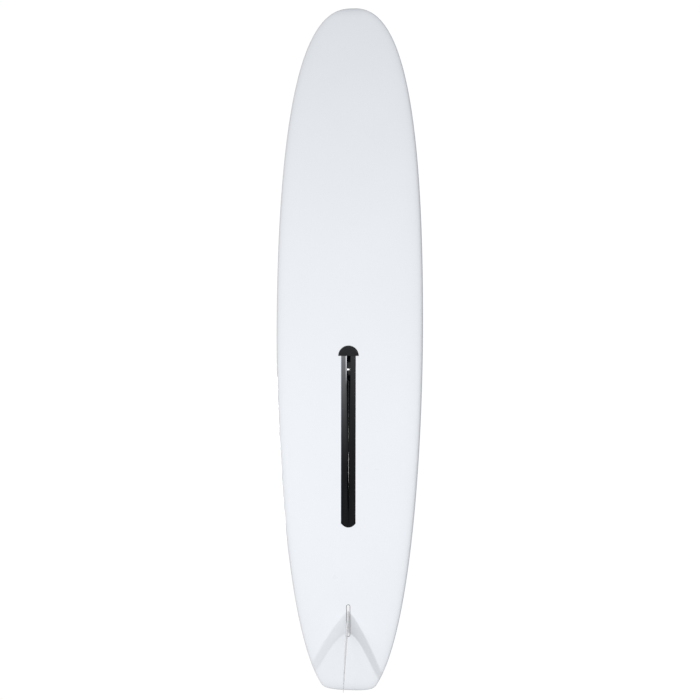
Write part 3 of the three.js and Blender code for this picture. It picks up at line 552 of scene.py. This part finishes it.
LIP_PROFILE = [  # share of the lip's width out from its inner edge, and height over the bottom
    (0.0, 2.1), (0.05, 1.1), (0.16, 0.2), (0.3, -0.7), (0.44, -1.25), (0.54, -1.4), (0.64, -1.3),
    (0.78, -0.85), (0.9, -0.3), (0.965, 0.02), (1.0, 0.35), (1.0, 1.9), (0.5, 2.0), (0.2, 2.1), (0.05, 2.6),
]
LIPS_CLOSED = 0.3  # half the gap where the lips meet
LIP_PARTS = [  # name, front, rear and how much of the width is left when the blade is down
    ("front", STRIP_FRONT, -190, 0.62), ("middle", -190, -240, 0.8), ("rear", -240, STRIP_SIDE_END, 1),
]
LIP_STEP = 4
END_BOW_RUN = 60  # over which the sections take the round shape of the rear end


def lip_edge(y):
    """Half the gap between the lips."""
    if y > MOUTH_END:
        share = (MOUTH_END - y) / (MOUTH_END - STRIP_FRONT)
        return LIPS_CLOSED + (MOUTH_HALF - LIPS_CLOSED) * min(share * (2 - share), 1)
    if SLIT_END < y < SLIT_START:
        share = (SLIT_START - y) / (SLIT_START - SLIT_END)
        return LIPS_CLOSED + SLIT_HALF * math.sin(math.pi * share) ** 0.7
    return LIPS_CLOSED


def gasket_lip(name, side, front, rear, keep):
    rings = []
    steps = max(int((front - rear) / LIP_STEP), 8)
    for i in range(steps + 1):
        y = front + (rear - front) * i / steps
        edge = lip_edge(y)
        ring = []
        for share, height in LIP_PROFILE:
            x = edge + (STRIP_HALF - edge) * share
            bow = (STRIP_SIDE_END - STRIP_END) * (1 - (x / STRIP_HALF) ** 2)
            run = min(max((y - STRIP_SIDE_END) / -END_BOW_RUN + 1, 0), 1)
            ring.append((side * x, y - bow * run, rocker(y) + height))
        rings.append(ring)
    lip = make(name, *bridge(rings), GASKET, sharp=50)
    belongs(lip, "gasket_lip_port" if side < 0 else "gasket_lip_starboard")
    if keep < 1:
        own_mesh(lip)
    return lip


def gasket():
    for word, side in (("port", -1), ("starboard", 1)):
        for part, front, rear, keep in LIP_PARTS:
            gasket_lip(f"gasket_lip_{word}_{part}", side, front, rear, keep)
    cap = make("gasket_cap", *bridge([[(x, y, z) for x, y in cap_ring()] for z in (-1.3, 2.2)]), BLACK)
    belongs(soften(cap, 1.0, 4), "gasket_nose_cap")


# ---- Foils ----

FOIL_STEPS, FOIL_SIDES, FOIL_EASE = 70, 64, 1.6
FOIL_FULLNESS = 2.6  # makes the section reach its half thickness at its widest point


def foil(name, leading, trailing, half_thickness, material_, place=None):
    """A blade between two curves in the middle plane, with a rounded front and a fine rear edge."""
    rings = []
    for k in range(FOIL_STEPS):
        t = 1 - (1 - k / FOIL_STEPS) ** FOIL_EASE
        front, back = bezier(leading, t), bezier(trailing, t)
        ring = []
        for i in range(FOIL_SIDES):
            angle = 2 * math.pi * i / FOIL_SIDES
            chord = (1 - math.cos(angle)) / 2
            swell = FOIL_FULLNESS * math.sqrt(chord) * (1 - chord)
            out = math.copysign(half_thickness(t) * swell, math.sin(angle))
            y, z = (a + (b - a) * chord for a, b in zip(front, back))
            ring.append((out, y, z))
        rings.append(ring)
    tip = leading[-1]
    rings.append([(0, *tip)] * FOIL_SIDES)
    return make(name, *bridge(rings), material_, place, sharp=60)


def in_fin_box(shape, *heights):
    """Levels of one plan shape about the fin head's middle."""
    return [(*shape, height, HEAD_SHIFT) for height in heights]


def fin():
    place = standing(FIN_BOX_Y, rocker)
    half = lambda t: FIN_HALF * (1 - FIN_TAPER * t) * math.sqrt(max(1 - t**4, 0))
    belongs(foil("fin_blade", FIN_LEADING, FIN_TRAILING, half, FIN_WHITE, place), "fin")
    head = in_fin_box(FIN_HEAD_TOP, 30) + in_fin_box(FIN_HEAD_ROOT, 0.6)
    belongs(soften(stack("fin_head", head, FIN_WHITE, place), 0.4, 2), "fin")
    # The seal ring's dark colour is also painted shade for the gap around the fin's head.
    seal = in_fin_box(SEAL_OUTER, 0.1, 4) + in_fin_box(SEAL_INNER, 4, 0.1)
    belongs(stack("fin_box_seal", seal, SEAL_GAP_SHADE, place, closed=True), "fin_box")
    sleeve = [*in_fin_box(SEAL_OUTER, 4.2), (*BOX_OUTER, 4.2), (*BOX_OUTER, BOX_TOP),
              *in_fin_box(BOX_INNER, BOX_TOP, 30.4)]
    belongs(stack("fin_box_sleeve", sleeve, GELCOAT, place, closed=True), "fin_box")


# ---- Daggerboard ----

BLADE_LEADING = ((-178, 12), (-560, 12), (-868, 2), (-868, 62))
BLADE_TRAILING = ((-178, 126), (-480, 122), (-868, 119), (-868, 62))
BLADE_HALF, BLADE_TAPER = 11, 0.45
TANG_Y, TANG_Z, TANG_HALF = -131, 76, 8
LEVER_CORNER = 12
GRIP_FOOT = 145  # the lever pad's, above the pivot


def head_outline():
    """The head's side view: a disc about the pivot with the lever standing on it."""
    points = []
    start = math.asin(LEVER_WIDTH / 2 / HEAD_RADIUS)
    for i in range(97):
        angle = math.pi / 2 + start + (2 * math.pi - 2 * start) * i / 96
        points.append((PIVOT_Y + HEAD_RADIUS * math.cos(angle), PIVOT_Z + HEAD_RADIUS * math.sin(angle)))
    for turn, side in ((0, 1), (math.pi / 2, -1)):
        middle = PIVOT_Y + side * (LEVER_WIDTH / 2 - LEVER_CORNER)
        for i in range(9):
            angle = turn + math.pi / 2 * i / 8
            points.append((middle + LEVER_CORNER * math.cos(angle),
                           PIVOT_Z + LEVER_TOP - LEVER_CORNER + LEVER_CORNER * math.sin(angle)))
    return points


def slab(side_view, half):
    """Points and faces of a flat piece with this outline in Y and Z."""
    return bridge([[(x, y, z) for y, z in side_view] for x in (-half, half)])


def dagger():
    half = lambda t: BLADE_HALF * (1 - BLADE_TAPER * t) * math.sqrt(max(1 - t**4, 0))
    blade = foil("daggerboard_blade", BLADE_LEADING, BLADE_TRAILING, half, BLADE)
    tang_outline = [(y + TANG_Y, z + TANG_Z) for z, y, _ in rounded(74, 102, 20, 0)]
    tang = make("daggerboard_tang", *slab(tang_outline, TANG_HALF), BLADE)
    soften(tang, 0.5, 2)
    head = make("daggerboard_head", *slab(head_outline(), HEAD_HALF), BLADE)
    soften(head, 7, 8, sharp=60)
    pad = stack("lever_grip", [(22, 16, 3, 0.2), (24, 18, 4, 1.2), (24, 18, 4, 4.0), (22.5, 16.5, 4, 4.9)],
                RUBBER, Matrix.Translation((0, PIVOT_Y, PIVOT_Z + GRIP_FOOT + LIFT)))
    pieces = ((blade, "dagger_blade"), (tang, "dagger_blade"), (head, "dagger_head"), (pad, "lever_pad"))
    for obj, node in pieces:
        belongs(obj, node, body="daggerboard")


# ---- Screws and turned pieces ----

def hexagon(radius, low, high, place):
    return turned("hexagon", [(0, low), (radius, low), (radius, high), (0, high)], None, place, sides=6)


SCREW_RADIUS, SCREW_HEAD, SCREW_LENGTH = 2, 4, 15
SOCKET = 0.45  # radius of a screw's hexagon socket, as a share of its head's


def countersunk(node, place):
    """A countersunk screw whose slightly domed head has a hexagon socket."""
    radius, head, length = SCREW_RADIUS, SCREW_HEAD, SCREW_LENGTH
    cone = head - radius
    profile = [(0, -length), (radius - 0.5, -length), (radius, 0.5 - length), (radius, -cone - 0.2),
               (radius + 0.1, -cone), (head - 0.15, -0.25), (head - 0.2, -0.05), (head - 0.9, 0), (0, 0)]
    screw = turned(node + "_steel", profile, STEEL, place, sides=40)
    cut(screw, hexagon(head * SOCKET, -cone, 1, place))
    return belongs(soften(screw, 0.12, 2), node)


def rolled(node, profile, look, place, closed=False, body="board"):
    """A turned piece that stands for one CAD node."""
    return belongs(turned(node + "_turned", profile, look, place, 64, closed), node, body=body)


def washer(inner, outer, start, end):
    """The section of a ring with its edges broken, from its start to its end along the axis."""
    edge = 0.3
    return [(inner, start + edge), (inner + edge, start), (outer - edge, start), (outer, start + edge),
            (outer, end - edge), (outer - edge, end), (inner + edge, end), (inner, end - edge)]


HEAD_SCREWS = ((-143, 98), (-143, 52), (-163, 75))
EDGE_SCREW_Y, BUMPER_Y = -287, -889.7


def bushes():
    """The pin, its two bushes and the two pads that hold the head steady in the case."""
    across = along_x(PIVOT_Y, PIVOT_Z)
    rolled("pivot_pin", [(0, -19), (3.4, -19), (4, -18.4), (4, 18.4), (3.4, 19), (0, 19)], STEEL, across)
    for side, sign in (("port", -1), ("starboard", 1)):
        bush = washer(4.3, 7, *sorted((sign * 8.6, sign * 13.7)))
        rolled(f"pivot_bush_{side}", bush, BRASS, across, closed=True, body="daggerboard")
        pad = washer(10, 40, *sorted((sign * 14.3, sign * 15.7)))
        rolled(f"friction_pad_{side}", pad, RUBBER, across, closed=True)
    shank = [(0, -13), (1.7, -13), (2, -12.7), (2, 12.6), (1.6, 13), (0, 13)]
    for i, (y, z) in enumerate(HEAD_SCREWS, 1):
        rod = turned(f"head_screw_{i}_steel", shank, STEEL, along_x(y, z), sides=32)
        cut(rod, hexagon(1, 11, 14, along_x(y, z)))
        belongs(rod, f"head_screw_{i}", body="daggerboard")
    edge = Matrix.Translation((0, EDGE_SCREW_Y, 13 + LIFT))
    domed = [(0, 0.9), (1.2, 0.2), (2.4, 0), (3, 0.7), (3, 14.6), (2.6, 15), (0, 15)]
    screw = turned("edge_screw_steel", domed, STEEL, edge, sides=40)
    cut(screw, hexagon(1.2, -1, 2.2, edge))
    belongs(screw, "blade_edge_screw", body="daggerboard")
    bumper = stack("tip_bumper_block", [(18, 8, 2, 37), (20, 10, 2, 38), (20, 10, 2, 86), (18, 8, 2, 87)],
                   RUBBER, Matrix.Translation((0, BUMPER_Y, LIFT)))
    belongs(bumper, "tip_bumper")


# ---- Deck fittings ----

BAR_HALF, BAR_THICK, BAR_REACH, BAR_DROP, BAR_STEPS = 14, 8, 58, 11, 120
BAR_WAIST = 0.12  # share of its width that the carry handle's bar loses in the middle
RIDGE, RIDGE_PITCH, RIDGED_SHARE = 0.35, 46, 0.62


def handle():
    place = standing(HANDLE_Y, deck_height)
    cup = stack("handle_cup_shell", [
        (96, 108, 18, -46), (104, 116, 22, -43), (104, 116, 22, -1), (127.4, 139.4, 29.7, -1),
        (128, 140, 30, -0.5), (128, 140, 30, 0.2), (126.8, 138.8, 29.4, 0.85), (125.6, 137.6, 28.8, 1),
        (102.5, 114.5, 21.2, 1), (99.8, 111.8, 19.9, 0.3), (98.4, 110.4, 19.2, -1), (98, 110, 19, -3),
        (97, 109, 18.5, -36), (93, 105, 16.5, -41.5), (84, 96, 12, -43)], BLACK, place)
    belongs(cup, "handle_cup")
    rings = []
    for i in range(BAR_STEPS + 1):
        share = 2 * i / BAR_STEPS - 1
        grip = RIDGE * (1 + math.cos(share * RIDGE_PITCH)) * (abs(share) < RIDGED_SHARE)
        waist = 1 - BAR_WAIST * math.cos(share * math.pi / 2) ** 2
        narrowing = (BAR_HALF * waist - grip) / BAR_HALF
        rings.append([(corner * narrowing, BAR_REACH * share, height) for corner, height in
                      grip_section(waist, grip)])
    belongs(make("handle_bar_grip", *bridge(rings), RUBBER, place), "handle_bar")


def grip_section(waist, grip):
    """A soft-cornered section of the carry handle's bar: half widths and heights."""
    section = []
    for i in range(48):
        angle = 2 * math.pi * i / 48
        across, up = (math.copysign(abs(c) ** 0.6, c) for c in (math.cos(angle), math.sin(angle)))
        section.append((BAR_HALF * across, -BAR_DROP + (BAR_THICK * waist - grip) * up))
    return section


def mast_track():
    place = standing(TRACK_Y, deck_height)
    track = stack("mast_track_body", [
        (31, 245, 9.5, -30), (32, 246, 10, -29.5), (32, 246, 10, -1), (51.4, 265.4, 15.7, -1),
        (52, 266, 16, -0.5), (52, 266, 16, 0.3), (51, 265, 15.5, 0.9), (50, 264, 15, 1)], BLACK, place)
    at_entry = place @ Matrix.Translation((0, 88, 0))
    entry = stack("entry", [(23, 36, 4, -7.3), (23, 36, 4, 9)], None, at_entry)
    mouth = [(10.4, 208, 5.19, -7.3), (10.4, 208, 5.19, 0.2), (12, 209.6, 5.99, 1), (12, 209.6, 5.99, 9)]
    under = [(21, 224, 4, -16), (21, 224, 4, -7)]
    cut(track, stack("mouth", mouth, None, place), entry, stack("under", under, None, place))
    belongs(soften(track, 0.35, 2), "mast_track")
    nut = stack("mast_nut_block", [(19.2, 29.2, 2.6, -15.7), (20, 30, 3, -15.3), (20, 30, 3, -10.1),
                                   (19.2, 29.2, 2.6, -9.7)], BRASS, place)
    cut(nut, turned("bore", [(0, -17), (4, -17), (4, -10.4), (5, -9), (0, -9)], None, place))
    belongs(nut, "mast_track_nut", body="mast_nut")


def bezel():
    place = standing(BEZEL_Y, deck_height)
    plate = stack("bezel_plate", [
        (68, 304, 26, -2), (68, 304, 26, 0.8), (67.2, 303.2, 25.6, 1.6), (65.6, 301.6, 24.8, 2),
        (34, 256, 7, 2), (32.6, 254.6, 6.3, 1.6), (32, 254, 6, 0.8), (32, 254, 6, -2)], BLACK, place,
        closed=True)
    sink = [(0, -6), (2.3, -6), (2.3, -2.3), (4.3, 0), (4.3, 3), (0, 3)]
    for side, x in (("port", -25), ("starboard", 25)):
        for end, y in (("front", 92), ("rear", -92)):
            spot = place @ Matrix.Translation((x, y, 2))
            cut(plate, turned("sink", sink, None, spot))
            countersunk(f"bezel_screw_{side}_{end}", spot)
    belongs(plate, "dagger_bezel")


def vent():
    place = standing(VENT_Y, deck_height)
    rolled("vent_body", [
        (6, -14), (8.6, -14), (9, -13.6), (9, -1), (13.7, -1), (14, -0.7), (14, 0.5), (13.5, 0.9), (12.9, 1),
        (10.6, 1), (10.4, 0.8), (10.4, -2.2), (6, -2.2)], BLACK, place, closed=True)
    cap = turned("vent_cap_disc", [
        (0, -9), (5.3, -9), (5.7, -8.6), (5.7, -1.2), (9.8, -1.2), (10, -1), (10, 1.3), (9.7, 1.8), (9.1, 2),
        (0, 2)], BLACK, place, sides=72)
    turned_across = place @ Matrix.Rotation(math.pi / 2, 4, "Z")
    cut(cap, stack("coin_slot", [(2, 12, 0.9, 0.8), (2, 12, 0.9, 3)], None, turned_across))
    belongs(soften(cap, 0.2, 2), "vent_cap")
    ring = [(7.6 + 0.42 * math.cos(a), -1.7 + 0.42 * math.sin(a))
            for a in (2 * math.pi * i / 16 for i in range(16))]
    rolled("vent_o_ring", ring, RUBBER, place, closed=True)


def bar_plug(y, cup_node, pin_node):
    """A cup in the deck with a pin across it for a cord."""
    place = standing(y, deck_height)
    cup = turned(cup_node + "_turned", [
        (0, -16), (13.4, -16), (14, -15.4), (14, -1), (19.6, -1), (20, -0.6), (20, 0.4), (19.5, 0.85),
        (18.9, 1), (12.6, 1), (11.9, 0.7), (11.5, 0), (11.3, -11.5), (10.4, -13), (8.8, -13.5), (0, -13.5)],
        BLACK, place, 72)
    belongs(cup, cup_node)
    profile = [(0, -12.7), (2.2, -12.7), (2.5, -12.4), (2.5, 12.4), (2.2, 12.7), (0, 12.7)]
    rolled(pin_node, profile, STEEL, along_x(0, -7, place))


def fin_bolt():
    place = standing(FIN_BOX_Y, rocker)
    top = (deck_height(FIN_BOX_Y) - rocker(FIN_BOX_Y)) / math.cos(
        math.atan((rocker(FIN_BOX_Y + 1) - rocker(FIN_BOX_Y - 1)) / 2))
    seat = top - 9
    rolled("fin_bolt_sleeve", [(3.3, 46.3), (8, 46.3), (8, seat - 3), (11, seat - 3), (11, top - 0.4),
                               (10.6, top), (8.8, top), (8.5, top - 0.3), (8.5, seat), (3.3, seat)],
           BLACK, place, closed=True)
    rolled("fin_bolt_washer", [(3.3, seat + 0.3), (6.8, seat + 0.3), (7, seat + 0.5), (7, seat + 1.3),
                               (6.8, seat + 1.5), (3.3, seat + 1.5)], STEEL, place, closed=True)
    low, high = seat + 1.8, seat + 6.2
    bolt = turned("fin_bolt_steel", [
        (0, 9), (2.5, 9), (3, 9.5), (3, low), (5.3, low), (5.5, low + 0.2), (5.5, high - 0.9),
        (5.2, high - 0.3), (4.6, high), (0, high)], STEEL, place, 64)
    cut(bolt, hexagon(2.5, high - 3, high + 3, place))
    belongs(soften(bolt, 0.12, 2), "fin_bolt")
    nut = turned("fin_nut_brass", [(0, -6), (5.7, -6), (6, -5.7), (6, 5.7), (5.7, 6), (0, 6)], BRASS,
                 along_x(0, 17, place), 48)
    cut(nut, turned("nut_bore", [(0, 8), (3.3, 8), (3.3, 30), (0, 30)], None, place))
    belongs(nut, "fin_nut")


# ---- Foam deck pads ----

def inset_line(inset):
    """The starboard outline moved inwards."""
    ahead = np.gradient(OUTLINE_POINTS, axis=0)
    ahead /= np.linalg.norm(ahead, axis=1)[:, None]
    return OUTLINE_POINTS + inset * np.stack((ahead[:, 1], -ahead[:, 0]), axis=1)


PAD_LINE = inset_line(PAD_EDGE)


def pad_reach(y):
    """Half the width of the deck that the pads cover."""
    line = PAD_LINE[(PAD_LINE[:, 0] > 1) & (PAD_LINE[:, 1] > PAD_TAIL_END)][::-1]
    return float(np.interp(y, line[:, 1], line[:, 0]))


def round_edge(radius, steps=6):
    """Distances in from an edge with how far the top drops there."""
    angles = [math.pi / 2 * i / (steps - 1) for i in range(steps)]
    return [(radius * (1 - math.cos(a)), radius * (1 - math.sin(a))) for a in angles]


def pad_columns(width, radius, pitch, groove, depth):
    """Columns across a pad, as share of its width, distance from there and drop of the top."""
    edge = round_edge(radius)
    columns = [(0, away, drop) for away, drop in edge]
    count = int((width - 4 * radius) / pitch)
    for k in range(count + 1):
        share = 0.5 + (k - count / 2) * pitch / width
        columns += [(share, away * groove, depth * part) for away, part in GROOVE]
    return columns + [(1, -away, drop) for away, drop in reversed(edge)]


GROOVE = ((-0.5, 0), (-0.42, 0.35), (-0.25, 0.9), (0, 1), (0.25, 0.9), (0.42, 0.35), (0.5, 0))


def pad_stations(length, radius, corner, rows):
    """Distances from a pad's front with the drop of the top, closer together at its round corners."""
    edge = round_edge(radius)
    bend = [corner * (1 - math.cos(math.pi / 2 * i / 13)) for i in range(14)]
    near = edge + [(away, 0) for away in bend if away > radius]
    middle = [(corner + (length - 2 * corner) * i / rows, 0) for i in range(1, rows)]
    return near + middle + [(length - away, drop) for away, drop in reversed(near)]


def slab_mesh(top, bottom):
    """Points and faces of a closed slab between two grids."""
    rows, count = len(top), len(top[0])
    under = rows * count
    faces = []
    for row in range(rows - 1):
        for column in range(count - 1):
            at = row * count + column
            quad = (at, at + 1, at + count + 1, at + count)
            faces += [quad, tuple(under + v for v in reversed(quad))]
    rim = list(range(count)) + [row * count + count - 1 for row in range(1, rows)]
    rim += [(rows - 1) * count + column for column in range(count - 2, -1, -1)]
    rim += [row * count for row in range(rows - 2, 0, -1)]
    for here, there in zip(rim, rim[1:] + rim[:1]):
        faces.append((here, under + here, under + there, there))
    return [p for row in top + bottom for p in row], faces


def pad(node, look, span, left, right, base=GAP, height=PAD, radius=PAD_RADIUS, corner=PAD_CORNER, pitch=27,
        groove=5, depth=1.6, rows=60):
    """A foam pad: its top follows the deck, its edges are round and grooves run along it."""
    front, rear = span
    columns = pad_columns(right(front) - left(front), radius, pitch, groove, depth)
    top, bottom = [], []
    for along, end_drop in pad_stations(front - rear, radius, corner, rows):
        y, away = front - along, min(along, front - rear - along)
        tuck = corner - math.sqrt(corner**2 - max(corner - away, 0) ** 2)
        x0, x1 = left(y) + tuck, right(y) - tuck
        fade = min(max((away - 2 * radius) / radius, 0), 1)
        places = [(x0 + (x1 - x0) * share + off, drop * (fade if 0 < share < 1 else 1))
                  for share, off, drop in columns]
        top.append([(x, y, deck_at(x, y) + base + height - max(drop, end_drop)) for x, drop in places])
        bottom.append([(x, y, deck_at(x, y) + base) for x, drop in places])
    return make(node + "_foam", *slab_mesh(top, bottom), look, sharp=50)


def deck_pads():
    reach = lambda sign: lambda y: sign * pad_reach(y)
    fixed = lambda x: lambda y: x
    clear = Matrix.Translation((0, HANDLE_Y, LIFT))
    pads = {
        "deck_pad_port": pad("deck_pad_port", EVA, FRONT_PAD, reach(-1), fixed(-PAD_CHANNEL)),
        "deck_pad_starboard": pad("deck_pad_starboard", EVA, FRONT_PAD, fixed(PAD_CHANNEL), reach(1)),
        "deck_pad_rear": pad("deck_pad_rear", EVA, REAR_PAD, reach(-1), reach(1)),
        "tail_pad": pad("tail_pad", EVA_DARK, TAIL_PAD, reach(-1), reach(1), pitch=14, groove=4, depth=1.4),
        "tail_kick": pad("tail_kick", EVA_DARK, KICK_SPAN, fixed(-KICK_HALF), fixed(KICK_HALF),
                         PAD + 2 * GAP, KICK_HEIGHT - 2 * GAP, radius=8, corner=23.5, pitch=8, groove=4,
                         depth=1.3, rows=4),
    }
    for node in ("deck_pad_port", "deck_pad_starboard"):
        cut(pads[node], stack("clear", [(138, 150, 39, 0), (138, 150, 39, 300)], None, clear), sharp=50)
    sleeve = turned("clear", [(0, 0), (16, 0), (16, 300), (0, 300)], None,
                    Matrix.Translation((0, FIN_BOX_Y, LIFT)))
    cut(pads["tail_pad"], sleeve, sharp=50)
    for node, foam in pads.items():
        belongs(foam, node)


belongs(hull_skin(), "bottom_shell", "deck_shell")
gasket()
fin()
dagger()
bushes()
handle()
mast_track()
bezel()
vent()
bar_plug(TOW_PLUG_Y, "nose_tow_plug", "nose_tow_pin")
bar_plug(LEASH_PLUG_Y, "leash_plug", "leash_pin")
fin_bolt()
deck_pads()

# CAD nodes inside the hull, which are shown as they are
CARRIED = {
    FOAM: ["core_port", "core_starboard"],
    PLYWOOD: ["stringer_front", "stringer_rear", "stringer_tail"],
    BLACK: ["dagger_case"],
}
for look, names in CARRIED.items():
    for node_name in names:
        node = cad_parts[node_name]
        node.data.materials.clear()
        node.data.materials.append(look)

# ---- Stage, light and camera ----

VIEW_TURN = math.radians(5.4)  # the camera stands this far round the board's length, to port
CAMERA_DISTANCE = 5.0
LENS = 51.03
ROLL = 0.0018  # how far the camera is turned about its own axis, in radians
AIM = Vector((-0.0076, -0.0238, LIFT * MM))
FLOOR, FLOOR_HALF = -7.0, 30
SENSOR = 36
LIGHT_DISTANCE = 4.5
TAIL_TARGET = (0, -0.6, LIFT * MM)
SURROUND, BACKDROP = 0.32, 1.02  # strengths of the world as light and as seen


def floor():
    material_ = material("studio_floor", (0.8, 0.8, 0.8), 0.9, tint=0.02, tint_scale=1)
    mesh = bpy.data.meshes.new("studio_floor")
    corners = ((-1, -1), (1, -1), (1, 1), (-1, 1))
    mesh.from_pydata([(x * FLOOR_HALF, y * FLOOR_HALF, FLOOR) for x, y in corners], [], [(0, 1, 2, 3)])
    obj = bpy.data.objects.new("studio_floor", mesh)
    mesh.materials.append(material_)
    bpy.context.scene.collection.objects.link(obj)


def lamp(name, place, target, size, power, glossy=False):
    data = bpy.data.lights.new(name, "AREA")
    data.shape = "DISK"
    data.size = size
    data.energy = power
    obj = bpy.data.objects.new(name, data)
    obj.location = place
    obj.rotation_euler = (Vector(target) - Vector(place)).to_track_quat("-Z", "Y").to_euler()
    obj.visible_camera = False
    obj.visible_glossy = glossy
    bpy.context.scene.collection.objects.link(obj)
    return obj


def light_at(angle_degrees, side, y):
    """A place under the board, this high towards one side."""
    angle = math.radians(angle_degrees)
    return (side * LIGHT_DISTANCE * math.cos(angle), y, LIFT * MM - LIGHT_DISTANCE * math.sin(angle))


def glint():
    """A small lamp that only the parts in the daggerboard's slot mirror."""
    near = bpy.data.collections.new("slot_parts")
    for name in ("daggerboard_head", "daggerboard_blade", "edge_screw_steel"):
        near.objects.link(bpy.data.objects[name])
    small = lamp("glint_light", light_at(80, 1, -1.28), (0, -0.69, LIFT * MM), 1.0, 70, glossy=True)
    small.visible_diffuse = False
    small.light_linking.receiver_collection = near


def camera():
    away = Vector((-math.sin(VIEW_TURN), 0, -math.cos(VIEW_TURN)))
    data = bpy.data.cameras.new("camera")
    data.lens = LENS
    data.sensor_width = SENSOR
    data.clip_end = 100
    obj = bpy.data.objects.new("camera", data)
    across = (-away).cross(Vector((0, 1, 0)))
    up = (Vector((0, 1, 0)) - across * ROLL).normalized()
    right = (-away).cross(up)
    obj.matrix_world = Matrix.Translation(AIM + away * CAMERA_DISTANCE) @ Matrix(
        (right, up, away)).transposed().to_4x4()
    bpy.context.scene.collection.objects.link(obj)
    bpy.context.scene.camera = obj


LAMPS = [  # name, place, target, size in metres, watts and whether it is mirrored
    ("front_light", (0.3, 0.7, -6.5), (0, 0.3, 0), 12, 380, False),
    ("key_light", light_at(58, 1, -1.2), TAIL_TARGET, 0.16, 51, False),
    ("fill_light", light_at(53, -1, -1.2), TAIL_TARGET, 0.16, 34, False),
    ("deck_light", (1.8, -1.0, 4.0), (0, 0, 0.3), 1.6, 130, True),
]

floor()
for row in LAMPS:
    lamp(*row)
glint()
camera()


def studio_world():
    """A soft surround that lights the board evenly behind a white backdrop."""
    world = bpy.data.worlds.new("studio")
    world.use_nodes = True
    nodes, links = world.node_tree.nodes, world.node_tree.links
    surround = nodes["Background"]
    surround.inputs["Strength"].default_value = SURROUND
    backdrop = nodes.new("ShaderNodeBackground")
    backdrop.inputs["Strength"].default_value = BACKDROP
    for shader in (surround, backdrop):
        shader.inputs["Color"].default_value = (1, 1, 1, 1)
    path = nodes.new("ShaderNodeLightPath")
    mix = nodes.new("ShaderNodeMixShader")
    links.new(path.outputs["Is Camera Ray"], mix.inputs["Fac"])
    links.new(surround.outputs["Background"], mix.inputs[1])
    links.new(backdrop.outputs["Background"], mix.inputs[2])
    links.new(mix.outputs["Shader"], nodes["World Output"].inputs["Surface"])
    bpy.context.scene.world = world


studio_world()
bpy.context.scene.view_settings.view_transform = "Standard"
